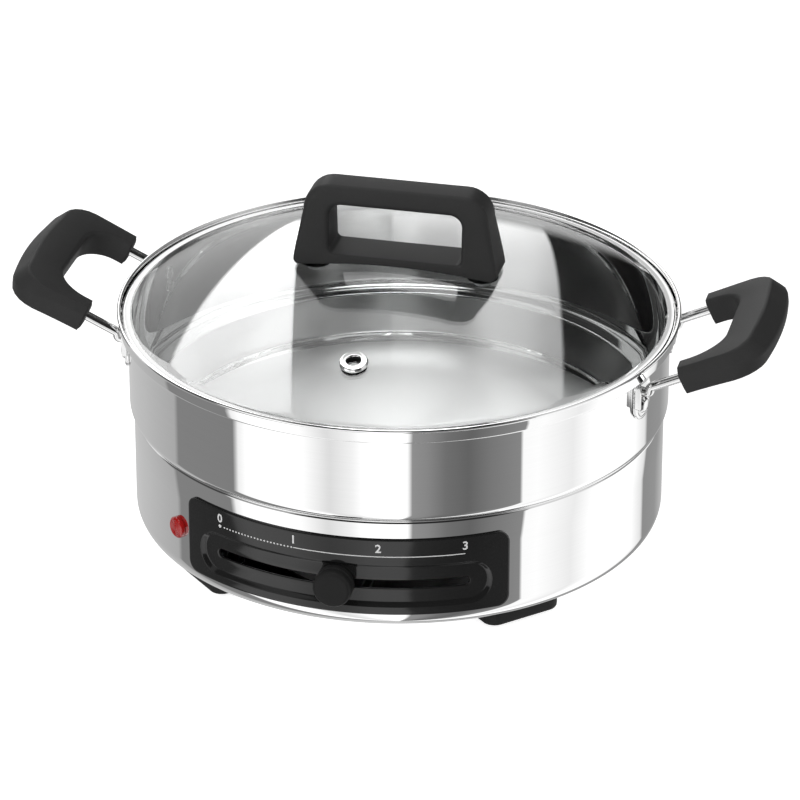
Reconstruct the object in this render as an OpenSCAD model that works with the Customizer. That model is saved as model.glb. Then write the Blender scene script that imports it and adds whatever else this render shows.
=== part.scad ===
// Electric stainless pot with a heated base, a sliding heat control and a lift-off glass lid.
// Millimetres, +Z up, the panel faces -Y, the side handles lie along X, z = 0 is the table.

/* [Pot] */
// Outer diameter of the pot's upper wall
wall_d = 282; // [270:1:300]
// Thickness of the pot's steel sheet
pot_sheet = 0.8; // [0.6:0.1:1.2]
// How far the lid band stands out from the wall
band_step = 4.4; // [4:0.1:6]
// Height of the lid band
band_h = 8; // [7:0.5:10]
// Height of the upper wall, from the shoulder to the rim
upper_h = 55; // [48:1:75]
// How far the lower wall is set in from the upper wall
lower_step = 11; // [9.5:0.5:13]
// Depth of the lower wall below the shoulder
lower_h = 37; // [32:1:40]
// Outer bend radius at the shoulder
shoulder_r = 5; // [3:0.5:6]
// Outer bend radius between the lower wall and the floor
floor_r = 18; // [14:1:24]
// Diameter of the rolled bead at the rim
bead_d = 2; // [1.6:0.1:2.6]

/* [Base] */
// How far the base wall is set in from the pot's wall
base_inset = 2.25; // [1.5:0.25:3.5]
// Thickness of the base's steel sheet
base_sheet = 0.7; // [0.5:0.1:1]
// Height of the base, from its bottom to the shoulder
base_h = 62; // [60:1:75]
// Bend radius at the base's lower edge
base_edge_r = 10; // [6:1:12]
// Gap between the pot's lower wall and the base's top flange
flange_gap = 3; // [2:0.5:4]
// Diameter of each air hole in the base's bottom
air_hole_d = 6; // [4:0.5:8]
// Radius of the ring of air holes
air_ring_r = 48; // [40:1:60]
// Number of air holes
air_holes = 12; // [6:1:16]

/* [Control panel] */
// Angle that the panel spans round the base
panel_angle = 73.5; // [72:0.5:84]
// Height of the panel
panel_h = 42.4; // [40:0.2:46]
// Distance from the shoulder down to the panel's top edge
panel_drop = 9.8; // [6:0.2:10]
// Thickness of the panel
panel_t = 1.5; // [1.2:0.1:2.5]
// Corner radius of the panel
panel_corner_r = 6; // [3:0.5:8]
// Height of the recessed track
track_h = 22; // [21:0.5:24]
// Angle that the track spans
track_angle = 65; // [60:1:68]
// Depth of the track below the panel's face
track_depth = 2; // [1.2:0.1:2.5]
// Wall of the tray behind the track
tray_wall = 1.4; // [1:0.1:1.8]
// Height of the slot
slot_h = 5; // [4.6:0.1:6]
// Angle that the slot spans
slot_angle = 56.5; // [56:0.5:62]
// Distance from the panel's top edge down to the slot's middle
slot_drop = 26; // [24:0.5:28]

/* [Slider] */
// Diameter of the slider knob
knob_d = 20; // [16:0.5:20.4]
// How far the knob stands out from the panel's face
knob_out = 8.5; // [5:0.5:12]
// Edge radius of the knob
knob_edge_r = 2.5; // [1:0.5:3]
// Width of the control lever
lever_w = 10; // [8:0.5:12]
// Thickness of the control lever
lever_t = 2; // [1.5:0.1:2.2]
// Height of the control lever above the base's bottom sheet
lever_rise = 3.8; // [3.5:0.1:5]
// Diameter of the lever's stem
stem_d = 4; // [3:0.1:4.2]

/* [Indicator] */
// Diameter of the lens
lens_d = 11.5; // [10.5:0.5:15]
// How far the lens stands out from the base wall
lens_out = 3; // [1.5:0.1:4]
// Angle from the front round to the lens
lens_angle = 41; // [41:0.5:50]
// Distance from the shoulder down to the lens
lens_drop = 33; // [26:1:36]
// Diameter of the lens stem in the wall
lens_stem_d = 9.6; // [8:0.2:11]

/* [Inlet] */
// Width of the inlet's flange
inlet_w = 48; // [44:1:60]
// Height of the inlet's flange
inlet_h = 28; // [26:1:32]
// Width of the inlet's shroud
shroud_w = 32; // [28:1:34]
// Height of the inlet's shroud
shroud_h = 24; // [22:1:25]
// Wall of the shroud
shroud_wall = 3; // [2:0.5:4]
// How far the shroud stands out from the base wall
inlet_out = 10; // [8:0.5:12]
// Height of the inlet's middle above the base's bottom
inlet_rise = 23; // [21:1:25]

/* [Heater] */
// Diameter of the heat spreader
spreader_d = 200; // [190:2:210]
// Thickness of the heat spreader
spreader_t = 5; // [4:0.5:6]
// Diameter of the element's ring, to its tube's middle
element_ring_d = 150; // [136:2:164]
// Diameter of the element's tube
element_d = 7; // [6:0.5:8]
// Depth of the element's groove in the spreader
groove_depth = 2; // [1:0.5:3]
// Diameter of the thermostat
thermostat_d = 30; // [26:1:32]
// Diameter of the thermostat's spindle
spindle_d = 6; // [5:0.5:8]
// Radius of the ring of standoff studs
stud_ring_r = 88; // [85:1:92]
// Diameter of each standoff
standoff_d = 8; // [7:0.5:10]
// Diameter of the leads
lead_d = 2.4; // [1.6:0.2:3]

/* [Feet] */
// Height of the feet, from the table to the base
foot_h = 14; // [10:0.5:18]
// Width of each foot, along the edge
foot_w = 44; // [38:1:50]
// Length of each foot, towards the middle
foot_l = 30; // [26:1:36]
// Radius of the ring of feet
foot_ring_r = 109; // [104:1:112]
// Width of each pad
pad_w = 30; // [20:1:32]
// Length of each pad
pad_l = 18; // [14:1:20]
// How far each pad stands out below its foot
pad_out = 2.8; // [1:0.1:4]

/* [Side handles] */
// Diameter of the handle wire
wire_d = 5; // [4:0.5:6]
// Distance between the two wires of a handle
wire_gap = 82; // [78:1:88]
// Upward slope of the handles in degrees
handle_slope = 25; // [18:1:28]
// Distance from the rim down to the wire where it leaves the wall
handle_drop = 12.7; // [12:0.1:20]
// Height of the wire's upright bend at the wall
wire_rise = 3.4; // [2:0.1:6]
// How far the grip's outer edge stands out from the wall
grip_reach = 59.5; // [56:0.5:65]
// Length of the grip, from its arm ends to its outer edge
grip_l = 48; // [44:0.5:52]
// Depth of the grip's bar
grip_bar = 25.4; // [22:0.1:28]
// Radius of the grip's bowed outer edge
grip_bow_r = 210; // [150:10:400]
// Width of the grip
grip_w = 100; // [97:1:110]
// Width of the grip's arms
arm_w = 14.5; // [12:0.5:16]
// Thickness of the grip's arms
arm_t = 14.5; // [12:0.5:16]
// Thickness of the grip's bar
bar_t = 16.5; // [15:0.5:19]
// Width of each fixing plate
plate_w = 16; // [12:0.5:18]
// Thickness of each fixing plate
plate_t = 1.8; // [1.2:0.1:2.5]
// How far each plate's folded edge stands out from the wall
plate_fold = 5; // [3:0.5:7]
// Distance from the wire's end down to the rivet
rivet_drop = 7.2; // [7.2:0.1:10]
// Diameter of the rivet's shank
rivet_d = 4.4; // [3.5:0.1:5]
// Diameter of the rivet's outer head
rivet_head_d = 8.8; // [7:0.1:8.8]

/* [Lid] */
// Thickness of the glass
glass_t = 4; // [3:0.5:4.5]
// Rise of the dome above the lid's edge
dome_rise = 28.9; // [20:0.1:40]
// Width of the lid's rim ring
ring_w = 4.4; // [3.6:0.2:6]
// Thickness of the ring's sheet
ring_sheet = 0.5; // [0.4:0.1:0.8]
// Gap between the ring and the band
lid_gap = 0.6; // [0.4:0.1:1.5]
// Length of the lid handle at its foot
lid_handle_l = 108; // [104:1:120]
// Length of the lid handle at its top
lid_handle_top_l = 97; // [92:1:102]
// Height of the lid handle above the dome
lid_handle_h = 41; // [36:0.2:52]
// Depth of the lid handle at its foot
lid_handle_t = 26; // [22:1:30]
// Depth of the lid handle at its top
lid_handle_top_t = 20; // [16:1:22]
// Width of the lid handle's posts at their top
lid_post_w = 13.5; // [10:0.5:14.5]
// Height of the lid handle's lower bar at the middle
lid_bar_h = 4; // [3:0.5:6]
// Height of the lid handle's top bar
lid_top_bar_h = 10.5; // [8:0.5:14]
// Corner radius of the lid handle
lid_corner_r = 14.5; // [10:0.5:17]
// Distance from the middle to each lid screw
lid_screw_x = 44; // [41:0.5:45]
// Distance from the middle to the steam vent
vent_r = 98.5; // [80:0.5:110]
// Diameter of the vent's flange
vent_flange_d = 15; // [12:0.5:18]
// Diameter of the vent's bore
vent_bore_d = 7; // [5:0.5:7.5]

/* [Hidden] */
$fn = 96;
// Direction that the panel faces
front = -90;
// How far cuts and buried ends run past a face
past = 1;
// How far curved cutters reach past the sheet that they cut
reach = 3;

// Clearances
seat_gap = 0.1;      // a curved face laid on another
glass_gap = 0.3;     // a piece seated on the glass dome
hole_gap = 0.15;     // a fastener in its hole, on the radius
spindle_gap = 0.05;  // the spindle in its bush, on the radius
press_gap = 0.03;    // a pressed piece in its bore, on the radius
slide_gap = 0.4;     // the slider's pieces over what they pass
tray_gap = 0.4;      // the tray in the base's window
wall_gap = 1.5;      // the lever's riser to the tray

// Radii
r_wall = wall_d / 2;
r_wall_in = r_wall - pot_sheet;
r_band = r_wall + band_step;
r_band_in = r_band - pot_sheet;
r_lower = r_wall - lower_step;
r_base = r_wall - base_inset;
r_base_in = r_base - base_sheet;
r_panel = r_base + panel_t;
r_track = r_panel - track_depth;
r_tray = r_track - tray_wall;
r_riser = r_tray - wall_gap;
r_knob = r_panel + knob_out;

// Heights
z_base = foot_h;
z_base_in = z_base + base_sheet;
base_top_r = 1.5;
z_seam = z_base + base_h;
z_floor = z_seam - lower_h;
z_rim = z_seam + upper_h;
z_band = z_rim - band_h;
z_seat = z_band + pot_sheet;
z_heat = z_floor - spreader_t;
z_panel_top = z_seam - panel_drop;
z_panel = z_panel_top - panel_h;
z_slot = z_panel_top - slot_drop;
z_lens = z_seam - lens_drop;
z_inlet = z_base + inlet_rise;

// Thermostat and slider train
z_lever = z_base_in + lever_rise;
z_lever_top = z_lever + lever_t;
bush_h = 3;
bush_wall = 3;
bush_d = spindle_d + 2 * bush_wall;
z_bush = z_lever_top + slide_gap;
z_thermostat = z_bush + bush_h;
cam_rim = 2.5;
cam_d = spindle_d + 2 * cam_rim;
cam_h = 3;
z_cam = z_thermostat + 2;
nut_h = 2.5;
nut_wall = 2.5;
nut_d = spindle_d + 2 * nut_wall;
hub_wall = 5;
hub_d = spindle_d + 2 * hub_wall;
tongue_d = 8;

// Thermostat bracket
strap_t = 1.2;
strap_w = 14;
strap_half = thermostat_d / 2 + 3;
ear_l = 12;
ear_x = strap_half + ear_l / 2;
screw_d = 4;
screw_head_d = 8;
screw_head_h = 2.5;
tapped_depth = spreader_t - 1;
tab_l = 8;
tab_w = 5;
tab_t = 0.8;
tab_x = 6;
tab_root = thermostat_d / 2 - 3;
z_tab = z_thermostat + 7;

// Element
element_r = element_ring_d / 2;
element_gap_angle = 36;
element_drop = 6;
pin_d = 3;
pin_l = 6;
elbow_extra = 0.2;
z_element = z_heat + groove_depth - element_d / 2;
element_end_angles = [90 - element_gap_angle / 2, 90 + element_gap_angle / 2];
clamp_angles = [0, 180, 270];
clamp_w = 10;
clamp_t = 1.2;
clamp_ear = 11;
clamp_screw_d = 3;
clamp_screw_head_d = 6;
clamp_screw_head_h = 2;
clamp_screw_r = element_r - element_d / 2 - 0.5 - clamp_t - clamp_ear / 2;

// Thermal fuse
fuse_d = 5;
fuse_l = 18;
fuse_at = element_r * [0.5, 0.3];
clip_w = 11;
clip_l = 10;
clip_wall = 1.5;

// Fastening of the pot to the base
stud_angles = [90, 210, 330];
stud_d = 4;
stud_nut_h = 3;
stud_nut_d = 8;
stud_out = stud_nut_h + 1;

// Feet
foot_angles = [-135, -45, 45, 135];
foot_corner_r = 7;
pad_corner_r = 5;
pad_sunk = 2;
foot_screw_l = 6;

// Panel pegs, as an angle from the front and a height
peg_d = 3.4;
peg_l = 4;
peg_edge = 4.4;
peg_side_angle = panel_angle / 2 - peg_edge / r_panel * 180 / PI;
peg_low = 9;
peg_rows = [z_panel_top - peg_edge - panel_corner_r / 4, z_panel + peg_low];
peg_spots = [for (side = [-1, 1], z = peg_rows) [side * peg_side_angle, z]];
push_nut_t = 0.5;
push_nut_d = 8;

// Earth screw on the spreader
earth_angle = 105;
earth_r = (element_r + spreader_d / 2) / 2;
earth_at = earth_r * [cos(earth_angle), sin(earth_angle)];

// Lens and lamp
lens_depth = 6;
lens_bevel = 1.4;
lamp_d = 6;
lamp_l = 7;
lamp_gap = 0.3;
lens_nut_d = lens_stem_d + 4;
lens_nut_t = 0.8;
lens_turn = front - lens_angle;

// Inlet
flange_t = 3;
inlet_corner_r = 5;
inlet_depth = 8;
socket_depth = 12;
inlet_pin_d = 4;
inlet_pin_x = 7;
inlet_pin_z = 2;
earth_pin_z = -3.5;
inlet_tab_l = 6;
inlet_pin_spots = [[-inlet_pin_x, inlet_pin_z], [inlet_pin_x, inlet_pin_z], [0, earth_pin_z]];
inlet_screw_d = 3;
inlet_screw_head_d = 5.6;
inlet_screw_head_h = 2;
inlet_screw_l = 9;
inlet_screw_x = (inlet_w + shroud_w) / 4;
y_socket = r_base + inlet_out - socket_depth;
y_inlet = r_base_in - inlet_depth;

// Where the leads end and run
function polar(r, angle, z = 0) = [r * cos(angle), r * sin(angle), z];
lamp_r = r_base - lens_depth - lamp_l / 2 + 2;
lamp_end = polar(lamp_r - seat_gap, lens_turn, z_lens);
lamp_inward = polar(-3, lens_turn);
lamp_pitch = lead_d / 2 + 0.3;
lamp_run_in = 32;    // from the base wall in to one lamp lead
return_run_in = 25;  // from the base wall in to the other
lamp_rise = 15;      // the other lead's climb to the inlet
lamp_rise_end = 7;   // the straight end of that climb
lamp_run_r = r_base - lamp_run_in;
lamp_run_z = z_base + 10;
return_run_r = r_base - return_run_in;
return_run_z = z_base + 6;
y_tabs = y_inlet - inlet_tab_l - seat_gap;
inlet_ends = [for (spot = inlet_pin_spots) [spot.x, y_tabs, z_inlet + spot.y]];
tab_ends = [for (side = [-1, 1]) [side * tab_x, thermostat_d / 2 + tab_l + seat_gap, z_tab]];
z_fuse = z_heat - clip_wall - fuse_d / 2;
fuse_ends = [for (side = [-1, 1]) [fuse_at.x, fuse_at.y + side * (fuse_l / 2 + seat_gap), z_fuse]];
z_pins = z_element - element_drop - pin_l - seat_gap;
pin_ends = [for (angle = element_end_angles) polar(element_r, angle, z_pins)];
earth_end = [earth_at.x, earth_at.y + screw_head_d / 2 + seat_gap, z_heat - screw_head_h / 2];
lead_start = 6;      // straight out of an inlet tab
lead_end = 8;        // straight into a tab, a screw or the fuse
lead_slant = 2;      // inwards while a lead drops behind the inlet
lead_under = 4;      // a lead's middle below the spreader
earth_under = 12;    // the earth lead's middle below the spreader
lead_bow = 13;       // sideways where a lead bends round
lead_sag = 8;        // how far a lead hangs between its ends
z_lead = z_heat - lead_under;
y_drop = y_tabs - lead_start - lead_slant;
element_way = element_r * cos(element_end_angles[0]) / 2;

// Side handles
wire_stub = 3.5;
r_plate = r_wall + seat_gap + plate_t;
r_bend = r_plate + wire_stub;
plate_angle = asin(wire_gap / 2 / r_bend);
handle_x = r_bend * cos(plate_angle);
z_wire = z_rim - handle_drop;
z_tenon = z_wire - wire_rise;
z_rivet = z_tenon - rivet_drop;
grip_end = (r_wall + grip_reach - handle_x) / cos(handle_slope);
grip_start = grip_end - grip_l;
grip_wire_x = grip_end - grip_bar * 0.55;
tenon_d = wire_d - 1;
inner_head_d = 6.6;
inner_head_h = 1.2;
r_head = r_wall_in - seat_gap;
rivet_head_h = 2.6;
grip_corner_r = 17;
grip_edge_r = 3;
arm_end_r = 5;
window_r = 14;

// Lid
r_ring = r_band_in - lid_gap;
r_ring_in = r_ring - ring_w;
r_glass = r_ring - ring_sheet - seat_gap;
z_glass = z_seat + ring_sheet;
z_glass_top = z_glass + glass_t;
z_apex = z_glass_top + dome_rise;
dome_r = (pow(r_ring_in, 2) + pow(dome_rise, 2)) / (2 * dome_rise);
z_dome = z_apex - dome_r;
z_handle_top = z_apex + lid_handle_h;
handle_skirt = 12;
lid_hole_d = 6;
lid_screw_d = 4;
lid_screw_head_d = 9;
lid_screw_head_h = 3;
lid_screw_grip = 14;
gasket_d = 16;
gasket_t = 1.2;
gasket_r = lid_screw_x + gasket_d / 2;
z_gasket = z_dome + sqrt(pow(dome_r - glass_t, 2) - pow(gasket_r, 2)) - gasket_t;
vent_body_d = vent_bore_d + 2;
vent_flange_t = 2.2;
vent_rivet_d = vent_body_d + 4;
vent_rivet_t = 1;
vent_tilt = asin(vent_r / dome_r);

// Shared shapes

// A round bar from radius r0 to r1, pointing out from the axis at an angle and a height
module radial_pin(angle, z, r0, r1, d) {
    rotate([0, 0, angle]) translate([r0, 0, z]) rotate([0, 90, 0]) cylinder(d = d, h = r1 - r0);
}

// Half profile of a round vessel with a bent lower edge
module vessel_profile(r, z0, z1, edge) {
    translate([0, z0]) square([r - edge, z1 - z0]);
    translate([0, z0 + edge]) square([r, z1 - z0 - edge]);
    translate([r - edge, z0 + edge]) circle(edge);
}

// A ring of rectangular section
module ring(r0, r1, z0, z1) {
    rotate_extrude() translate([r0, z0]) square([r1 - r0, z1 - z0]);
}

// A block that follows the base's front, half an angle to each side
module front_block(r0, r1, z0, z1, half) {
    rotate([0, 0, front - half]) rotate_extrude(angle = 2 * half)
        translate([r0, z0]) square([r1 - r0, z1 - z0]);
}

// A slot with round ends that follows the base's front
module front_slot(r0, r1, z, h, half) {
    end_angle = half - h / 2 / r_panel * 180 / PI;
    intersection() {
        ring(r0, r1, z - h, z + h);
        union() {
            front_block(r0 - reach, r1 + reach, z - h / 2, z + h / 2, end_angle);
            for (side = [-1, 1]) radial_pin(front + side * end_angle, z, r0 - reach, r1 + reach, h);
        }
    }
}

// The panel's outline as a curved plate with round corners
module front_plate(r0, r1, z0, z1, half, corner) {
    inner = half - corner / r_panel * 180 / PI;
    intersection() {
        ring(r0, r1, z0 - past, z1 + past);
        union() {
            front_block(r0 - reach, r1 + reach, z0, z1, inner);
            front_block(r0 - reach, r1 + reach, z0 + corner, z1 - corner, half);
            for (side = [-1, 1], z = [z0 + corner, z1 - corner])
                radial_pin(front + side * inner, z, r0 - reach, r1 + reach, 2 * corner);
        }
    }
}

// A flat rectangle with round corners
module round_rect(w, l, r) {
    square([w - 2 * r, l], center = true);
    square([w, l - 2 * r], center = true);
    for (x = [-1, 1], y = [-1, 1]) translate([x * (w / 2 - r), y * (l / 2 - r)]) circle(r);
}

// Leads: a tube swept along points, with its corners cut twice

function cut_corners(p) = [
    p[0],
    for (i = [0 : len(p) - 2]) each [0.75 * p[i] + 0.25 * p[i + 1], 0.25 * p[i] + 0.75 * p[i + 1]],
    p[len(p) - 1]
];

function unit(v) = v / norm(v);

function tangent(p, i) = unit(p[min(i + 1, len(p) - 1)] - p[max(i - 1, 0)]);

// The side direction carried along the tube, so that it doesn't twist
function sides(p, side, i = 0) = let (
    t = tangent(p, i),
    n = unit(side - t * (side * t))
) i == len(p) - 1 ? [n] : concat([n], sides(p, n, i + 1));

module lead(points, side = [0, 0.3, 1]) {
    facets = 8;
    path = cut_corners(cut_corners(points));
    last = len(path) - 1;
    normals = sides(path, side);
    rings = [for (i = [0 : last]) let (t = tangent(path, i), n = normals[i], b = cross(t, n))
        each [for (k = [0 : facets - 1]) let (a = 360 * k / facets)
            path[i] + lead_d / 2 * (cos(a) * n + sin(a) * b)]];
    walls = [for (i = [0 : last - 1], k = [0 : facets - 1]) let (
            a = i * facets + k,
            b = i * facets + (k + 1) % facets
        ) each [[a, a + facets, b], [b, a + facets, b + facets]]];
    start = [for (k = [1 : facets - 2]) [0, k, k + 1]];
    end = [for (k = [1 : facets - 2]) [last * facets, last * facets + k + 1, last * facets + k]];
    polyhedron(points = rings, faces = concat(walls, start, end));
}

// Pot

module pot_section() {
    difference() {
        union() {
            vessel_profile(r_lower, z_floor, z_seam + shoulder_r, floor_r);
            vessel_profile(r_wall, z_seam, z_band + past, shoulder_r);
            translate([0, z_band]) square([r_band, band_h - bead_d / 2]);
        }
        vessel_profile(r_lower - pot_sheet, z_floor + pot_sheet, z_seam + shoulder_r, floor_r - pot_sheet);
        vessel_profile(r_wall_in, z_seam + pot_sheet, z_band + past, shoulder_r - pot_sheet);
        translate([0, z_seat]) square([r_band_in, band_h]);
    }
    translate([r_band_in + bead_d / 2, z_rim - bead_d / 2]) circle(d = bead_d);
}

module pot_body() {
    color("gainsboro") difference() {
        rotate_extrude() pot_section();
        for (turn = [0, 180], side = [-1, 1]) {
            angle = turn + side * plate_angle;
            radial_pin(angle, z_tenon, r_wall_in - past, r_wall + past, tenon_d + 2 * hole_gap);
            radial_pin(angle, z_rivet, r_wall_in - past, r_wall + past, rivet_d + 2 * hole_gap);
        }
    }
}

// Heater under the pot's floor

module element_ring(d) {
    turn = 360 - element_gap_angle;
    rotate([0, 0, element_end_angles[1]]) rotate_extrude(angle = turn)
        translate([element_r, 0]) circle(d = d);
}

module heat_spreader() {
    color("silver") difference() {
        translate([0, 0, z_heat]) cylinder(d = spreader_d, h = spreader_t);
        translate([0, 0, z_element]) rotate_extrude() translate([element_r, 0])
            circle(d = element_d + 2 * hole_gap);
        for (side = [-1, 1]) translate([side * ear_x, 0, z_heat - past])
            cylinder(d = screw_d + 2 * hole_gap, h = tapped_depth + past);
        for (angle = clamp_angles) rotate([0, 0, angle]) translate([clamp_screw_r, 0, z_heat - past])
            cylinder(d = clamp_screw_d + 2 * hole_gap, h = tapped_depth + past);
        translate([earth_at.x, earth_at.y, z_heat - past])
            cylinder(d = screw_d + 2 * hole_gap, h = tapped_depth + past);
    }
}

module heating_element() {
    color("dimgray") {
        translate([0, 0, z_element]) element_ring(element_d);
        for (angle = element_end_angles) rotate([0, 0, angle]) translate([element_r, 0, z_element]) {
            sphere(d = element_d + elbow_extra);
            translate([0, 0, -element_drop]) cylinder(d = element_d, h = element_drop);
            translate([0, 0, -element_drop - pin_l]) cylinder(d = pin_d, h = pin_l + past);
        }
    }
}

// A bent strap over the element's tube, with one ear screwed to the spreader
module element_clamp() {
    half = element_d / 2 + 0.5;
    z_strap = z_element - element_d / 2 - seat_gap - clamp_t;
    translate([element_r - half - clamp_t, -clamp_w / 2, z_strap])
        cube([2 * (half + clamp_t), clamp_w, clamp_t]);
    for (x = [-half - clamp_t, half]) translate([element_r + x, -clamp_w / 2, z_strap])
        cube([clamp_t, clamp_w, z_heat - z_strap]);
    difference() {
        translate([element_r - half - clamp_t - clamp_ear, -clamp_w / 2, z_heat - clamp_t])
            cube([clamp_ear + clamp_t, clamp_w, clamp_t]);
        translate([clamp_screw_r, 0, z_heat - clamp_t - past])
            cylinder(d = clamp_screw_d + 2 * hole_gap, h = clamp_t + 2 * past);
    }
}

module element_clamps() {
    color("silver") for (angle = clamp_angles) rotate([0, 0, angle]) element_clamp();
}

// A screw that points up, with its head's top face at z
module up_screw(z, d, l, head_d, head_h) {
    translate([0, 0, z - head_h]) cylinder(d = head_d, h = head_h);
    translate([0, 0, z - past]) cylinder(d = d, h = l + past);
}

module clamp_screws() {
    color("silver") for (angle = clamp_angles) rotate([0, 0, angle]) translate([clamp_screw_r, 0, 0])
        up_screw(z_heat - clamp_t, clamp_screw_d, clamp_t + tapped_depth - past / 2,
            clamp_screw_head_d, clamp_screw_head_h);
}

module thermostat() {
    color("ivory") difference() {
        union() {
            translate([0, 0, z_thermostat]) cylinder(d = thermostat_d, h = z_heat - z_thermostat);
            translate([0, 0, z_bush]) cylinder(d = bush_d, h = bush_h + past);
        }
        translate([0, 0, z_bush - past])
            cylinder(d = spindle_d + 2 * spindle_gap, h = z_cam - z_bush + 2 * past);
        translate([0, 0, z_cam - slide_gap]) cylinder(d = cam_d + 2 * slide_gap, h = cam_h + 2 * slide_gap);
        for (side = [-1, 1]) translate([side * tab_x, tab_root + thermostat_d / 2, z_tab])
            cube([tab_w + 2 * press_gap, thermostat_d, tab_t + 2 * press_gap], center = true);
    }
}

module thermostat_terminals() {
    color("goldenrod") for (side = [-1, 1])
        translate([side * tab_x - tab_w / 2, tab_root, z_tab - tab_t / 2])
            cube([tab_w, thermostat_d / 2 - tab_root + tab_l, tab_t]);
}

module thermostat_bracket() {
    color("silver") difference() {
        union() {
            translate([-strap_half, -strap_w / 2, z_thermostat - strap_t])
                cube([2 * strap_half, strap_w, strap_t]);
            for (side = [-1, 1]) {
                translate([side * (strap_half - strap_t / 2) - strap_t / 2, -strap_w / 2,
                    z_thermostat - strap_t])
                    cube([strap_t, strap_w, z_heat - z_thermostat + strap_t]);
                translate([side * (strap_half + ear_l / 2 - strap_t / 2) - ear_l / 2 - strap_t / 2,
                    -strap_w / 2, z_heat - strap_t])
                    cube([ear_l + strap_t, strap_w, strap_t]);
            }
        }
        translate([0, 0, z_bush]) cylinder(d = bush_d + 2 * hole_gap, h = bush_h + past);
        for (side = [-1, 1]) translate([side * ear_x, 0, z_heat - strap_t - past])
            cylinder(d = screw_d + 2 * hole_gap, h = strap_t + 2 * past);
    }
}

module thermostat_screws() {
    color("silver") for (side = [-1, 1]) translate([side * ear_x, 0, 0])
        up_screw(z_heat - strap_t, screw_d, strap_t + tapped_depth - past / 2, screw_head_d, screw_head_h);
}

// Slider train, which turns about the pot's axis

module thermostat_spindle() {
    color("silver") {
        translate([0, 0, z_lever - nut_h]) cylinder(d = spindle_d, h = z_cam - z_lever + nut_h + past);
        translate([0, 0, z_cam]) cylinder(d = cam_d, h = cam_h);
    }
}

module control_lever() {
    color("silver") difference() {
        union() {
            translate([0, 0, z_lever]) cylinder(d = hub_d, h = lever_t);
            translate([-lever_w / 2, -r_riser, z_lever]) cube([lever_w, r_riser, lever_t]);
            translate([-lever_w / 2, -r_riser, z_lever])
                cube([lever_w, lever_t, z_slot - z_lever + tongue_d / 2]);
            radial_pin(front, z_slot, r_riser - lever_t / 2, r_knob - knob_edge_r, stem_d);
        }
        translate([0, 0, z_lever - past]) cylinder(d = spindle_d + 2 * press_gap, h = lever_t + 2 * past);
    }
}

module spindle_nut() {
    color("silver") difference() {
        translate([0, 0, z_lever - nut_h]) cylinder(d = nut_d, h = nut_h, $fn = 6);
        translate([0, 0, z_lever - nut_h - past])
            cylinder(d = spindle_d + 2 * press_gap, h = nut_h + 2 * past);
    }
}

module slider_knob() {
    knob_back = r_track + slide_gap;
    color("black") difference() {
        rotate([0, 0, front]) translate([0, 0, z_slot]) rotate([0, 90, 0]) {
            translate([0, 0, knob_back]) cylinder(d = knob_d, h = r_knob - knob_edge_r - knob_back);
            translate([0, 0, r_knob - knob_edge_r]) rotate_extrude() intersection() {
                translate([0, -knob_edge_r]) square([knob_d, 2 * knob_edge_r]);
                union() {
                    translate([0, -knob_edge_r]) square([knob_d / 2 - knob_edge_r, 2 * knob_edge_r]);
                    translate([knob_d / 2 - knob_edge_r, 0]) circle(knob_edge_r);
                }
            }
        }
        radial_pin(front, z_slot, knob_back - past, r_knob - knob_edge_r + press_gap, stem_d + 2 * press_gap);
    }
}

// Fuse, earth and leads

module thermal_fuse() {
    color("silver") translate([fuse_at.x, fuse_at.y - fuse_l / 2, z_fuse])
        rotate([-90, 0, 0]) cylinder(d = fuse_d, h = fuse_l);
}

module fuse_clip() {
    h = fuse_d + 2 * clip_wall;
    color("silver") difference() {
        translate([fuse_at.x - clip_w / 2, fuse_at.y - clip_l / 2, z_heat - h]) cube([clip_w, clip_l, h]);
        translate([fuse_at.x, fuse_at.y - clip_l, z_fuse])
            rotate([-90, 0, 0]) cylinder(d = fuse_d + 2 * press_gap, h = 2 * clip_l);
    }
}

module earth_screw() {
    color("goldenrod") translate([earth_at.x, earth_at.y, 0])
        up_screw(z_heat, screw_d, tapped_depth - past / 2, screw_head_d, screw_head_h);
}

module live_lead() {
    color("saddlebrown") lead([inlet_ends[0], inlet_ends[0] - [0, lead_start, 0],
        [inlet_ends[0].x, y_drop, z_lead], [-element_way, element_r, z_lead],
        tab_ends[0] + [0, lead_end, 0], tab_ends[0]]);
}

module neutral_lead() {
    color("steelblue") lead([inlet_ends[1], inlet_ends[1] - [0, lead_start, 0],
        [inlet_ends[1].x, y_drop, z_lead], [element_way, element_r, z_lead],
        fuse_ends[1] + [0, lead_end, 0], fuse_ends[1]]);
}

module fuse_lead() {
    color("steelblue") lead([fuse_ends[0], fuse_ends[0] - [0, lead_end, 0],
        fuse_ends[0] + [lead_bow, -lead_end, -lead_sag / 2],
        fuse_ends[0] + [lead_bow, 2 * lead_end, -lead_sag],
        pin_ends[0] + [lead_bow, -lead_bow, -lead_d / 2], pin_ends[0] - [0, 0, lead_d / 2]]);
}

module switch_lead() {
    color("saddlebrown") lead([tab_ends[1], tab_ends[1] + [0, lead_end, 0],
        tab_ends[1] + [-tab_x, 2 * lead_end, -lead_sag / 2],
        pin_ends[1] + [lead_bow, -lead_bow, -lead_d / 2], pin_ends[1] - [0, 0, lead_d / 2]]);
}

module earth_lead() {
    low = z_heat - earth_under;
    color("yellowgreen") lead([inlet_ends[2], inlet_ends[2] - [0, lead_start, 0],
        [inlet_ends[2].x, y_drop, low], [earth_end.x + lead_bow, earth_end.y + 2 * lead_end, low],
        earth_end + [0, lead_end, 0], earth_end]);
}

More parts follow.
